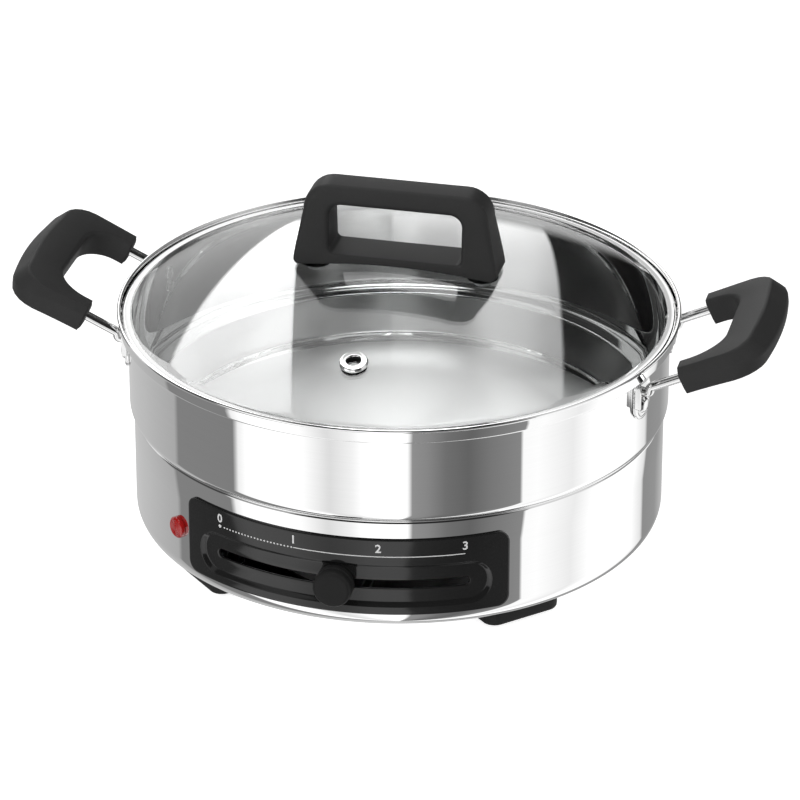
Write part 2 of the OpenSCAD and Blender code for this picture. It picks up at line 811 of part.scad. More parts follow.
// One lamp lead ends at an element pin, the other under the inlet's neutral pin
module lamp_leads() {
    upper = lamp_end + [0, 0, lamp_pitch];
    lower = lamp_end - [0, 0, lamp_pitch];
    pin_side = pin_ends[1] + [-pin_d / 2 - seat_gap, 0, 3];
    neutral = inlet_ends[1] + [0, 3, -inlet_pin_d / 2 - seat_gap];
    run = [for (angle = [212, 180, 150]) polar(lamp_run_r, angle, lamp_run_z)];
    return_run = [for (angle = [212, 180, 148, 118]) polar(return_run_r, angle, return_run_z)];
    color("gray") {
        lead(concat([upper, upper + lamp_inward], run, [pin_side + [-12, 0, 0], pin_side]));
        lead(concat([lower, lower + lamp_inward], return_run,
            [neutral - [0, 0, lamp_rise], neutral - [0, 0, lamp_rise_end], neutral]));
    }
}

// Base

module base_section() {
    difference() {
        union() {
            vessel_profile(r_base, z_base, z_seam - base_top_r, base_edge_r);
            translate([0, z_seam - base_top_r - past]) square([r_base - base_top_r, base_top_r + past]);
            translate([r_base - base_top_r, z_seam - base_top_r]) circle(base_top_r);
        }
        vessel_profile(r_base_in, z_base_in, z_seam - base_top_r, base_edge_r - base_sheet);
        translate([0, z_seam - base_top_r - past])
            square([r_base - base_top_r, base_top_r + past - base_sheet]);
        translate([r_base - base_top_r, z_seam - base_top_r]) circle(base_top_r - base_sheet);
        translate([0, z_seam - base_top_r - past]) square([r_lower + flange_gap, base_top_r + 2 * past]);
    }
}

module base_shell() {
    color("gainsboro") difference() {
        rotate_extrude() base_section();
        front_slot(r_tray - past, r_base + past, z_slot, track_h + 2 * (tray_wall + tray_gap),
            track_angle / 2 + (tray_wall + tray_gap) / r_panel * 180 / PI);
        for (spot = peg_spots)
            radial_pin(front + spot.x, spot.y, r_base_in - past, r_base + past, peg_d + 2 * hole_gap);
        radial_pin(lens_turn, z_lens, r_base_in - past, r_base + past, lens_stem_d + 2 * hole_gap);
        translate([0, y_inlet, z_inlet]) rotate([-90, 0, 0])
            linear_extrude(inlet_depth + 2 * base_sheet + past)
                round_rect(shroud_w + 2 * hole_gap, shroud_h + 2 * hole_gap, inlet_corner_r);
        for (side = [-1, 1]) translate([side * inlet_screw_x, r_base - reach, z_inlet])
            rotate([-90, 0, 0]) cylinder(d = inlet_screw_d + 2 * hole_gap, h = 2 * reach);
        for (angle = stud_angles) rotate([0, 0, angle]) translate([stud_ring_r, 0, z_base - past])
            cylinder(d = stud_d + 2 * hole_gap, h = base_sheet + 2 * past);
        for (angle = foot_angles) rotate([0, 0, angle]) translate([foot_ring_r, 0, z_base - past])
            cylinder(d = screw_d + 2 * hole_gap, h = base_sheet + 2 * past);
        for (i = [0 : air_holes - 1]) rotate([0, 0, 360 * i / air_holes])
            translate([air_ring_r, 0, z_base - past]) cylinder(d = air_hole_d, h = base_sheet + 2 * past);
    }
}

module control_panel() {
    color("black") difference() {
        union() {
            front_plate(r_base + seat_gap, r_panel, z_panel, z_panel_top, panel_angle / 2, panel_corner_r);
            front_slot(r_tray, r_panel - seat_gap, z_slot, track_h + 2 * tray_wall,
                track_angle / 2 + tray_wall / r_panel * 180 / PI);
            for (spot = peg_spots)
                radial_pin(front + spot.x, spot.y, r_base_in - peg_l, r_base + panel_t / 2, peg_d);
        }
        front_slot(r_track, r_panel + past, z_slot, track_h, track_angle / 2);
        front_slot(r_tray - past, r_panel + past, z_slot, slot_h, slot_angle / 2);
    }
}

module panel_push_nuts() {
    face = r_base_in - pow(push_nut_d / 2, 2) / (2 * r_base_in) - press_gap;
    color("silver") for (spot = peg_spots) difference() {
        radial_pin(front + spot.x, spot.y, face - push_nut_t, face, push_nut_d);
        radial_pin(front + spot.x, spot.y, face - push_nut_t - past, face + past, peg_d + 2 * press_gap);
    }
}

module indicator_lens() {
    flange = r_base + seat_gap / 2;
    color("red") difference() {
        union() {
            radial_pin(lens_turn, z_lens, r_base - lens_depth, flange + past, lens_stem_d);
            radial_pin(lens_turn, z_lens, flange, r_base + lens_out - lens_bevel, lens_d);
            rotate([0, 0, lens_turn]) translate([r_base + lens_out - lens_bevel, 0, z_lens])
                rotate([0, 90, 0]) cylinder(d1 = lens_d, d2 = lens_d - 2 * lens_bevel, h = lens_bevel);
        }
        radial_pin(lens_turn, z_lens, r_base - lens_depth - past, r_base, lamp_d + 2 * lamp_gap);
    }
}

module neon_lamp() {
    color("orange") radial_pin(lens_turn, z_lens, lamp_r, lamp_r + lamp_l, lamp_d);
}

module lens_push_nut() {
    face = r_base_in - pow(lens_nut_d / 2, 2) / (2 * r_base_in) - press_gap;
    color("silver") difference() {
        radial_pin(lens_turn, z_lens, face - lens_nut_t, face, lens_nut_d);
        radial_pin(lens_turn, z_lens, face - lens_nut_t - past, face + past, lens_stem_d + 2 * press_gap);
    }
}

// Power inlet at the back

module power_inlet() {
    color("black") difference() {
        union() {
            difference() {
                translate([0, r_base - flange_t, z_inlet]) rotate([-90, 0, 0])
                    linear_extrude(2 * flange_t) round_rect(inlet_w, inlet_h, inlet_corner_r);
                cylinder(r = r_base + seat_gap, h = z_rim);
            }
            translate([0, y_inlet, z_inlet]) rotate([-90, 0, 0])
                linear_extrude(r_base + inlet_out - y_inlet) round_rect(shroud_w, shroud_h, inlet_corner_r);
        }
        translate([0, y_socket, z_inlet]) rotate([-90, 0, 0]) linear_extrude(socket_depth + past)
            round_rect(shroud_w - 2 * shroud_wall, shroud_h - 2 * shroud_wall,
                inlet_corner_r - shroud_wall / 2);
        for (spot = inlet_pin_spots) translate([spot.x, y_inlet - past, z_inlet + spot.y])
            rotate([-90, 0, 0]) cylinder(d = inlet_pin_d + 2 * press_gap, h = y_socket - y_inlet + 2 * past);
        for (side = [-1, 1]) translate([side * inlet_screw_x, r_base - 2 * flange_t, z_inlet])
            rotate([-90, 0, 0]) cylinder(d = inlet_screw_d + 2 * hole_gap, h = 4 * flange_t);
    }
}

module inlet_pins() {
    color("goldenrod") for (spot = inlet_pin_spots)
        translate([spot.x, y_inlet - inlet_tab_l, z_inlet + spot.y]) rotate([-90, 0, 0])
            cylinder(d = inlet_pin_d, h = inlet_tab_l + y_socket - y_inlet + socket_depth - 3);
}

module inlet_screws() {
    color("silver") for (side = [-1, 1]) translate([side * inlet_screw_x, r_base + flange_t, z_inlet])
        rotate([-90, 0, 0]) {
            cylinder(d = inlet_screw_head_d, h = inlet_screw_head_h);
            translate([0, 0, -inlet_screw_l]) cylinder(d = inlet_screw_d, h = inlet_screw_l + past);
        }
}

// Standoffs between the heater and the base

module standoff_studs() {
    color("silver") for (angle = stud_angles) rotate([0, 0, angle]) translate([stud_ring_r, 0, 0]) {
        translate([0, 0, z_base_in]) cylinder(d = standoff_d, h = z_heat - z_base_in);
        translate([0, 0, z_base - stud_out]) cylinder(d = stud_d, h = stud_out + base_sheet + past);
    }
}

module stud_nuts() {
    color("silver") for (angle = stud_angles) rotate([0, 0, angle])
        translate([stud_ring_r, 0, z_base - stud_nut_h]) difference() {
            cylinder(d = stud_nut_d, h = stud_nut_h, $fn = 6);
            translate([0, 0, -past]) cylinder(d = stud_d + 2 * press_gap, h = stud_nut_h + 2 * past);
        }
}

// Feet

module foot(i) {
    color("black") rotate([0, 0, foot_angles[i]]) translate([foot_ring_r, 0, 0]) difference() {
        translate([0, 0, pad_out]) linear_extrude(foot_h - pad_out) round_rect(foot_l, foot_w, foot_corner_r);
        translate([0, 0, pad_out - past]) linear_extrude(pad_sunk + past)
            round_rect(pad_l + 2 * hole_gap, pad_w + 2 * hole_gap, pad_corner_r);
        translate([0, 0, foot_h - foot_screw_l - past])
            cylinder(d = screw_d + 2 * press_gap, h = foot_screw_l + 2 * past);
    }
}

module pad(i) {
    color("dimgray") rotate([0, 0, foot_angles[i]]) translate([foot_ring_r, 0, 0])
        linear_extrude(pad_out + pad_sunk) round_rect(pad_l, pad_w, pad_corner_r);
}

module foot_front_left() { foot(0); }
module foot_front_right() { foot(1); }
module foot_rear_right() { foot(2); }
module foot_rear_left() { foot(3); }
module pad_front_left() { pad(0); }
module pad_front_right() { pad(1); }
module pad_rear_right() { pad(2); }
module pad_rear_left() { pad(3); }

module foot_screws() {
    color("silver") for (angle = foot_angles) rotate([0, 0, angle]) translate([foot_ring_r, 0, 0]) {
        translate([0, 0, z_base_in]) cylinder(d = screw_head_d, h = screw_head_h);
        translate([0, 0, z_base - foot_screw_l]) cylinder(d = screw_d, h = foot_screw_l + base_sheet + past);
    }
}

// Side handles, drawn at the right and turned round for the left

// The sloping plane that the wire and grip lie in
module handle_plane() {
    translate([handle_x, 0, z_wire]) rotate([0, -handle_slope, 0]) children();
}

module wire_loop(d) {
    handle_plane() {
        for (side = [-1, 1]) {
            translate([0, side * wire_gap / 2, 0]) rotate([0, 90, 0]) cylinder(d = d, h = grip_wire_x);
            translate([grip_wire_x, side * wire_gap / 2, 0]) sphere(d = d + elbow_extra);
        }
        translate([grip_wire_x, -wire_gap / 2, 0]) rotate([-90, 0, 0]) cylinder(d = d, h = wire_gap);
    }
}

module handle_wire(turn) {
    color("silver") rotate([0, 0, turn]) {
        wire_loop(wire_d);
        for (side = [-1, 1]) {
            angle = side * plate_angle;
            rotate([0, 0, angle]) translate([r_bend, 0, z_tenon]) {
                cylinder(d = wire_d, h = wire_rise);
                for (z = [0, wire_rise]) translate([0, 0, z]) sphere(d = wire_d + elbow_extra);
            }
            radial_pin(angle, z_tenon, r_plate, r_bend, wire_d);
            radial_pin(angle, z_tenon, r_head - past, r_plate + past, tenon_d);
            radial_pin(angle, z_tenon, r_head - inner_head_h, r_head, inner_head_d);
        }
    }
}

module handle_wire_right() { handle_wire(0); }
module handle_wire_left() { handle_wire(180); }

module grip_outline() {
    difference() {
        intersection() {
            hull() for (side = [-1, 1]) {
                translate([grip_start + arm_end_r, side * (grip_w / 2 - arm_end_r)])
                    circle(arm_end_r, $fn = 32);
                translate([grip_end - grip_corner_r, side * (grip_w / 2 - grip_corner_r - 1)])
                    circle(grip_corner_r, $fn = 32);
            }
            translate([grip_end - grip_bow_r, 0]) circle(grip_bow_r);
        }
        hull() for (side = [-1, 1]) {
            translate([grip_end - grip_bar - window_r, side * (grip_w / 2 - arm_w - window_r)])
                circle(window_r, $fn = 32);
            translate([grip_start - window_r, side * (grip_w / 2 - arm_w - window_r)])
                circle(window_r, $fn = 32);
        }
    }
}

module grip_side() {
    hull() {
        for (side = [-1, 1]) translate([grip_start + grip_edge_r, side * (arm_t / 2 - grip_edge_r)])
            circle(grip_edge_r, $fn = 32);
        translate([grip_end - bar_t / 2, arm_t / 2 - bar_t / 2]) circle(bar_t / 2, $fn = 32);
        translate([grip_end - grip_bar + grip_edge_r, arm_t / 2 - bar_t + grip_edge_r])
            circle(grip_edge_r, $fn = 32);
    }
}

module handle_grip(turn) {
    deep = bar_t + arm_t;
    color("black") rotate([0, 0, turn]) difference() {
        handle_plane() intersection() {
            translate([0, 0, -deep]) linear_extrude(2 * deep) grip_outline();
            translate([0, grip_w, 0]) rotate([90, 0, 0]) linear_extrude(2 * grip_w) grip_side();
        }
        wire_loop(wire_d + 2 * seat_gap);
    }
}

module handle_grip_right() { handle_grip(0); }
module handle_grip_left() { handle_grip(180); }

module fixing_plate(turn, side) {
    angle = turn + side * plate_angle;
    inner = r_wall + seat_gap / 2;
    top = z_tenon + plate_w / 2 - 1;
    color("silver") difference() {
        union() {
            radial_pin(angle, z_rivet, inner, inner + plate_t, plate_w);
            rotate([0, 0, angle]) translate([inner, -plate_w / 2, z_rivet])
                cube([plate_t, plate_w, top - z_rivet]);
            rotate([0, 0, angle]) translate([inner, side * plate_w / 2 - (side > 0 ? plate_t : 0), z_rivet])
                cube([plate_fold, plate_t, top - z_rivet - plate_t]);
        }
        radial_pin(angle, z_tenon, inner - past, inner + plate_t + past, tenon_d + 2 * press_gap);
        radial_pin(angle, z_rivet, inner - past, inner + plate_t + past, rivet_d + 2 * press_gap);
    }
}

module plate_right_front() { fixing_plate(0, -1); }
module plate_right_rear() { fixing_plate(0, 1); }
module plate_left_rear() { fixing_plate(180, -1); }
module plate_left_front() { fixing_plate(180, 1); }

module handle_rivets() {
    color("silver") for (turn = [0, 180], side = [-1, 1]) {
        angle = turn + side * plate_angle;
        radial_pin(angle, z_rivet, r_head - past, r_plate + past, rivet_d);
        radial_pin(angle, z_rivet, r_head - inner_head_h, r_head, inner_head_d);
        rotate([0, 0, angle]) translate([r_plate, 0, z_rivet]) rotate([0, 90, 0])
            cylinder(d1 = rivet_head_d, d2 = rivet_head_d * 0.6, h = rivet_head_h);
    }
}

// Lid

// Ball whose top is the dome's outer face, moved out by grow
module dome_ball(grow) {
    translate([0, 0, z_dome]) sphere(r = dome_r + grow, $fn = 256);
}

// Puts its children on the dome at the vent, standing square to the glass
module at_vent() {
    translate([0, 0, z_dome]) rotate([vent_tilt, 0, 0]) translate([0, 0, dome_r]) children();
}

module lid_glass() {
    color("lightcyan", 0.5) difference() {
        rotate_extrude() {
            intersection() {
                difference() {
                    translate([0, z_dome]) circle(dome_r);
                    translate([0, z_dome]) circle(dome_r - glass_t);
                }
                translate([0, z_glass]) square([r_ring_in, dome_rise + glass_t + past]);
            }
            translate([r_ring_in - past, z_glass]) square([r_glass - r_ring_in + past, glass_t]);
        }
        for (side = [-1, 1]) translate([side * lid_screw_x, 0, z_glass])
            cylinder(d = lid_hole_d, h = dome_rise + glass_t);
        at_vent() translate([0, 0, -2 * glass_t]) cylinder(d = vent_body_d + 2 * hole_gap, h = 3 * glass_t);
    }
}

module lid_ring() {
    z_top = z_glass_top + seat_gap + ring_sheet;
    color("silver") difference() {
        ring(r_ring_in, r_ring, z_seat, z_top);
        ring(r_ring_in - past, r_ring - ring_sheet, z_seat + ring_sheet, z_top - ring_sheet);
    }
}

module lid_handle_outline() {
    z_foot = z_apex - handle_skirt;
    foot_half = lid_handle_l / 2;
    top_half = lid_handle_top_l / 2;
    inner_r = lid_corner_r * 0.45;
    low_r = 3;
    window_half = top_half - lid_post_w;
    lean = (foot_half - top_half) / lid_handle_h;
    difference() {
        hull() {
            polygon([[-foot_half - lean * handle_skirt, z_foot], [foot_half + lean * handle_skirt, z_foot],
                [foot_half, z_apex], [-foot_half, z_apex]]);
            for (side = [-1, 1]) translate([side * (top_half - lid_corner_r), z_handle_top - lid_corner_r])
                circle(lid_corner_r, $fn = 32);
        }
        hull() for (side = [-1, 1]) {
            translate([side * (window_half - low_r), z_apex + lid_bar_h + low_r])
                circle(low_r, $fn = 32);
            translate([side * (window_half - inner_r), z_handle_top - lid_top_bar_h - inner_r])
                circle(inner_r, $fn = 32);
        }
    }
}

// The handle's depth narrows from its foot to its top
module lid_handle_side() {
    foot_half = lid_handle_t / 2;
    top_half = lid_handle_top_t / 2;
    polygon([[-foot_half, z_apex - handle_skirt], [foot_half, z_apex - handle_skirt],
        [top_half, z_handle_top], [-top_half, z_handle_top]]);
}

module lid_handle() {
    color("black") difference() {
        intersection() {
            translate([0, lid_handle_t, 0]) rotate([90, 0, 0])
                linear_extrude(2 * lid_handle_t) lid_handle_outline();
            translate([-lid_handle_l, 0, 0]) rotate([90, 0, 90])
                linear_extrude(2 * lid_handle_l) lid_handle_side();
        }
        dome_ball(glass_gap);
        for (side = [-1, 1]) translate([side * lid_screw_x, 0, z_gasket])
            cylinder(d = lid_screw_d + 2 * press_gap, h = glass_t + gasket_t + lid_screw_grip + past);
    }
}

module lid_screws() {
    color("silver") for (side = [-1, 1]) translate([side * lid_screw_x, 0, 0])
        up_screw(z_gasket, lid_screw_d, glass_t + gasket_t + lid_screw_grip,
            lid_screw_head_d, lid_screw_head_h);
}

module lid_gaskets() {
    color("white") for (side = [-1, 1]) difference() {
        intersection() {
            translate([side * lid_screw_x, 0, z_gasket]) cylinder(d = gasket_d, h = 2 * glass_t);
            dome_ball(-glass_t - glass_gap);
        }
        translate([side * lid_screw_x, 0, z_gasket - past])
            cylinder(d = lid_screw_d + 2 * press_gap, h = 3 * glass_t);
    }
}

module steam_vent() {
    z_under = -glass_t - glass_gap;
    color("silver") at_vent() difference() {
        union() {
            translate([0, 0, glass_gap])
                cylinder(d1 = vent_flange_d, d2 = vent_flange_d - vent_flange_t, h = vent_flange_t);
            translate([0, 0, z_under - vent_rivet_t])
                cylinder(d = vent_body_d, h = vent_rivet_t - z_under + past);
            translate([0, 0, z_under - vent_rivet_t]) cylinder(d = vent_rivet_d, h = vent_rivet_t);
        }
        translate([0, 0, z_under - 2 * vent_rivet_t]) cylinder(d = vent_bore_d, h = 4 * glass_t);
    }
}

pot_body();
heat_spreader();
heating_element();
element_clamps();
clamp_screws();
thermostat();
thermostat_terminals();
thermostat_bracket();
thermostat_screws();
thermostat_spindle();
control_lever();
spindle_nut();
slider_knob();
thermal_fuse();
fuse_clip();
earth_screw();
live_lead();
neutral_lead();
fuse_lead();
switch_lead();
earth_lead();
lamp_leads();
base_shell();
control_panel();
panel_push_nuts();
indicator_lens();
neon_lamp();
lens_push_nut();
power_inlet();
inlet_pins();
inlet_screws();
standoff_studs();
stud_nuts();
foot_front_left();
foot_front_right();
foot_rear_right();
foot_rear_left();
pad_front_left();
pad_front_right();
pad_rear_right();
pad_rear_left();
foot_screws();
handle_wire_right();
handle_wire_left();
handle_grip_right();
handle_grip_left();
plate_right_front();
plate_right_rear();
plate_left_rear();
plate_left_front();
handle_rivets();
lid_glass();
lid_ring();
lid_handle();
lid_screws();
lid_gaskets();
steam_vent();
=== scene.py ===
"""Looks of an electric cooking pot with a lift-off glass lid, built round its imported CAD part."""

import math

import bmesh
import bpy
import numpy as np
from mathutils import Matrix
from mathutils.geometry import delaunay_2d_cdt


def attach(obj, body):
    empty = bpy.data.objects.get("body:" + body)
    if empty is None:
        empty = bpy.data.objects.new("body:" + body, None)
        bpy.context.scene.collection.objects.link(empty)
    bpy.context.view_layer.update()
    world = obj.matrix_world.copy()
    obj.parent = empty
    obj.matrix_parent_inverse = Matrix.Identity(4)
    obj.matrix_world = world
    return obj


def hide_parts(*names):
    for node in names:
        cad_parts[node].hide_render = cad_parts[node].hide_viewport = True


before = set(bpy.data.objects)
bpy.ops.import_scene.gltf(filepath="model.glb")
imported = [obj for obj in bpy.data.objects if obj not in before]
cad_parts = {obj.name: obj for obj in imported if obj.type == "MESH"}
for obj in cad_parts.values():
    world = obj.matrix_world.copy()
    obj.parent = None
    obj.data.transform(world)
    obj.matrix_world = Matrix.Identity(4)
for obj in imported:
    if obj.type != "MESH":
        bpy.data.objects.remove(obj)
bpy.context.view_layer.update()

bl_info = {
    "name": "Electric cooking pot",
    "version": (1, 0, 0),
    "blender": (4, 5, 0),
    "location": "3D View > Sidebar > Pot",
    "description": "Dresses the packed electric pot with modelled pieces and procedural materials",
    "category": "Object",
}

MM = 0.001
MERGE = 1e-6
# Angles in degrees from which an edge is drawn sharp, on most pieces and on the grips
SHARP = 35.0
GRIP_SHARP = 50.0
COPY_SEED = 7
# A direction that no wire runs along
ASKEW = (0.31, 0.17, 0.93)

# Radii of the vessel and its base, in millimetres
R_WALL = 141.0
R_WALL_IN = 140.2
R_BAND = 145.4
R_BAND_IN = 144.6
R_BEAD = 1.0
R_LOWER = 130.0
R_FLOOR_BEND = 18.0
R_SHOULDER = 5.0
POT_SHEET = 0.8
R_BASE = 138.75
R_BASE_IN = 138.05
BASE_SHEET = 0.7
R_BASE_EDGE = 10.0
R_BASE_TOP = 1.5
R_FLANGE_IN = 133.0
R_BOTTOM = 60.0
AIR_HOLES = 12
AIR_HOLE_RING = 48.0
AIR_HOLE_R = 3.0
# Angles of the rim's bead in degrees, steps of a bend, and the step of the floor's bend that is first spun
BEAD_ANGLES = (-101, 180)
BEND_STEPS = 24
SPUN_FROM = 8

# Heights above the table, in millimetres
Z_BASE = 14.0
Z_FLOOR = 39.0
Z_SEAM = 76.0
Z_BAND = 123.0
Z_SEAT = 123.8
Z_RIM = 131.0

# Control panel, in millimetres and degrees
FRONT = -90.0
R_PANEL = 140.25
R_TRACK = 138.25
R_TRAY = 136.85
TRAY_WALL = 1.4
PANEL_HALF = math.radians(36.75) * R_PANEL
PANEL_LOW = 23.8
PANEL_HIGH = 66.2
PANEL_CORNER = 6.0
PANEL_BACK = R_BASE + 0.05
PANEL_RUN_STEPS = 73
PANEL_CORNER_STEPS = 8
Z_SLOT = 40.2
TRACK_HALF = math.radians(32.5) * R_PANEL
TRACK_H = 22.0
SLOT_HALF = math.radians(28.25) * R_PANEL
SLOT_H = 5.0
WINDOW_LOW = 27.4
WINDOW_HIGH = 53.0
WINDOW_ANGLE = 33.75
KNOB_R = 10.0
KNOB_BACK = 138.65
KNOB_FACE = 148.75
LENS_TURN = -131.0
LENS_Z = 43.0
LENS_R = 5.75
LENS_OUT = 3.0
SCALE_Z = 57.0
NUMBER_Z = 61.3
NUMBER_SIZE = 6.4
NUMBER_BOLD = 0.12
SCALE_ANGLES = (-27.0, -9.0, 9.0, 27.0)
SCALE_LINE = 0.45
START_R = 0.9
DOT_R = 0.46
DOTS_START = SCALE_ANGLES[0] + 1.2
DOTS_END = -9.2
DOT_PITCH = 0.78
INK = 0.06

# Feet, in millimetres and degrees
FOOT_NAMES = ("front_left", "front_right", "rear_right", "rear_left")
FOOT_ANGLES = (-135.0, -45.0, 45.0, 135.0)
FOOT_RING = 109.0
FOOT_L = 30.0
FOOT_W = 44.0
FOOT_CORNER = 7.0
PAD_OUT = 2.8
PAD_TOP = 4.8
PAD_L = 18.0
PAD_W = 30.0
PAD_CORNER = 5.0

# Side handles, in millimetres and degrees
SLOPE = math.radians(25.0)
HANDLE_X = 140.54
Z_WIRE = 118.3
Z_TENON = 114.9
Z_RIVET = 107.7
WIRE_R = 2.5
WIRE_HALF = 41.0
WIRE_END = 52.18
WIRE_BENDS = (2.0, 1.4, 6.0, 6.0, 1.4, 2.0)
PLATE_ANGLE = 16.26
R_PLATE_IN = 141.05
R_PLATE = 142.9
R_HEAD_IN = 140.1
PLATE_HALF = 8.0
PLATE_SHEET = 1.8
PLATE_FOLD = 3.6
GRIP_START = 18.15
GRIP_END = 66.15
GRIP_IN = 40.75
GRIP_BOW = 210.0
GRIP_ARM_IN = 35.5
GRIP_ARM_OUT = 50.0
GRIP_CORNER = 17.0
GRIP_WINDOW = 17.0
GRIP_TOP = 7.25
GRIP_LOW = -7.25
BAR_LOW = -9.25
# Corners of a grip's section on an arm and on the bar: distance from its side, height and radius
ARM_CORNERS = (
    (0, GRIP_TOP, 2.0), (-3.4, GRIP_TOP, 1.6), (0, 3.6, 2.0), (-0.8, GRIP_LOW, 2.2), (0, GRIP_LOW, 2.0),
)
BAR_CORNERS = (
    (0, GRIP_TOP, 2.6), (-6.6, GRIP_TOP, 2.6), (-0.8, -3.4, 3.0), (-3.4, BAR_LOW, 2.6), (0, BAR_LOW, 2.4),
)
# Those of them that lie on the outer side
OUTER_CORNERS = (1, 2, 3)
# Rounding of a grip's ends: distance along the arm and inset
GRIP_ENDS = ((0.0, 2.4), (0.25, 1.5), (0.8, 0.7), (1.6, 0.2))
# Profiles of a rivet's outer and inner heads: radius, height and radius of the corner
RIVET_HEAD = ((0, -0.5, 0), (4.3, -0.5, 0.1), (4.4, 0.5, 0.4), (3.0, 2.1, 1.6), (0, 2.5, 0))
INNER_HEAD = ((0, 0, 0), (3.3, 0, 0.1), (3.2, 0.7, 0.5), (0, 1.2, 0))

# Lid, in millimetres
DOME_R = 351.61
DOME_Z = -194.41
GLASS_T = 4.0
R_RING = 144.0
R_RING_IN = 139.6
RING_SHEET = 0.5
Z_GLASS = 124.3
Z_GLASS_TOP = 128.3
Z_RING_TOP = 128.9
R_GLASS = 143.4
Z_APEX = 157.2
Z_HANDLE_TOP = 198.2
LID_FOOT = 54.3
LID_TOP = 48.5
LID_DEPTH = 12.4
LID_TOP_DEPTH = 10.0
LID_WINDOW = 35.0
LID_FOOT_IN = 42.0
LID_BAR = 4.0
LID_TOP_BAR = 10.5
LID_GAP = 0.3
VENT_TILT = math.radians(16.27)

# Power inlet, in millimetres
Z_INLET = 37.0
INLET_BACK = 130.05
INLET_FRONT = 141.75
INLET_OUT = 148.75
SOCKET_FLOOR = 136.75
INLET_LOW = 24.6
INLET_HIGH = 49.4
INLET_ANGLE = 7.04
REAR = 90.0
PIN_SPOTS = ((-7.0, 2.0), (7.0, 2.0), (0.0, -3.5))
PIN_END = 145.75
PIN_R = 2.0
PIN_TAIL = 6.0
INLET_SCREW_X = 20.0
INLET_SEAT = 0.1
# Half width, half height and corner of the inlet's flange, shroud and socket
FLANGE_SIZE = (24.0, 14.0, 5.0)
SHROUD_SIZE = (16.0, 12.0, 5.0)
SOCKET_SIZE = (13.0, 9.0, 3.5)

# Camera's sensor in millimetres, then its reach and the lamps in metres
SENSOR = 36.0
CLIP_END = 100.0
KEY_PLACE = (-1.0, -1.6, 1.3)
KEY_SIZE = 1.4
FILL_PLACE = (1.4, -1.3, 1.0)
FILL_SIZE = 1.6
LAMP_TARGET = (0, 0, 0.08)

# Half the floor's width in millimetres, and its glow for the camera
FLOOR_HALF = 3000.0
FLOOR_GLOW = 0.85

# Level, roughness, grain to a metre, depth of the grain and gloss of each moulded plastic
PLASTICS = {
    "panel_black": (0.012, 0.09, 700.0, 0.008, 0.5),
    "knob_black": (0.02, 0.3, 1500.0, 0.06, 0.07),
    "foot_black": (0.03, 0.45, 1800.0, 0.15, 0.07),
    "pad_rubber": (0.035, 0.75, 1200.0, 0.2, 0.07),
    "grip_black": (0.04, 0.42, 2200.0, 0.16, 0.07),
    "vent_bore": (0.02, 0.5, 900.0, 0.05, 0.07),
    "inlet_black": (0.02, 0.5, 1600.0, 0.15, 0.07),
}


# Shader terms


def fill_ramp(ramp, stops):
    """Give a colour ramp its stops, each a place and a grey level."""
    while len(ramp.elements) > 1:
        ramp.elements.remove(ramp.elements[-1])
    ramp.elements[0].position = stops[0][0]
    for place, _ in stops[1:]:
        ramp.elements.new(place)
    for element, (_, level) in zip(ramp.elements, stops):
        element.color = (level, level, level, 1)


class Term:
    """A socket of a node tree that takes part in Python expressions."""

    def __init__(self, tree, socket=None):
        self.tree = tree
        self.socket = socket

    def node(self, kind, settings=None, sockets=None, output=0):
        """Add a node, make its settings, fill its sockets and return one of its outputs."""
        made = self.tree.nodes.new(kind)
        for name, value in (settings or {}).items():
            if name == "stops":
                fill_ramp(made.color_ramp, value)
            else:
                setattr(made, name, value)
        for name, value in (sockets or {}).items():
            self.join(value, made.inputs[name])
        return Term(self.tree, made.outputs[output])

    def join(self, value, socket):
        """Link a term to a socket, or set a plain value on it."""
        if isinstance(value, Term):
            self.tree.links.new(value.socket, socket)
        else:
            socket.default_value = value

    def math(self, operation, *values):
        """A Math node."""
        return self.node("ShaderNodeMath", {"operation": operation}, dict(enumerate(values)))

    def mix(self, low, high):
        """A colour from low to high, with this term as the factor."""
        return self.node("ShaderNodeMix", {"data_type": "RGBA"}, {0: self, 6: low, 7: high}, 2)

    def parts(self):
        """The three parts of this vector."""
        made = self.tree.nodes.new("ShaderNodeSeparateXYZ")
        self.join(self, made.inputs[0])
        return [Term(self.tree, output) for output in made.outputs]

    def vector(self, x, y, z):
        """A vector of three terms or numbers."""
        return self.node("ShaderNodeCombineXYZ", None, {0: x, 1: y, 2: z})

    def noise(self, vector, scale, detail=2.0):
        """Noise between 0 and 1 over a vector."""
        return self.node("ShaderNodeTexNoise", None, {"Vector": vector, "Scale": scale, "Detail": detail})

    def bump(self, height, strength, distance):
        """A normal from a height."""
        sockets = {"Height": height, "Strength": strength, "Distance": distance}
        return self.node("ShaderNodeBump", None, sockets)

    def place(self):
        """Where the point is on the object, in metres."""
        return self.node("ShaderNodeTexCoord", None, None, "Object")

    def __add__(self, other):
        return self.math("ADD", self, other)

    def __radd__(self, other):
        return self.math("ADD", other, self)

    def __sub__(self, other):
        return self.math("SUBTRACT", self, other)

    def __rsub__(self, other):
        return self.math("SUBTRACT", other, self)

    def __mul__(self, other):
        return self.math("MULTIPLY", self, other)

    def __rmul__(self, other):
        return self.math("MULTIPLY", other, self)

    def __truediv__(self, other):
        return self.math("DIVIDE", self, other)

    def __rtruediv__(self, other):
        return self.math("DIVIDE", other, self)

    def __pow__(self, other):
        return self.math("POWER", self, other)


# Materials


def grey(level, alpha=1.0):
    """A neutral colour."""
    return (level, level, level, alpha)


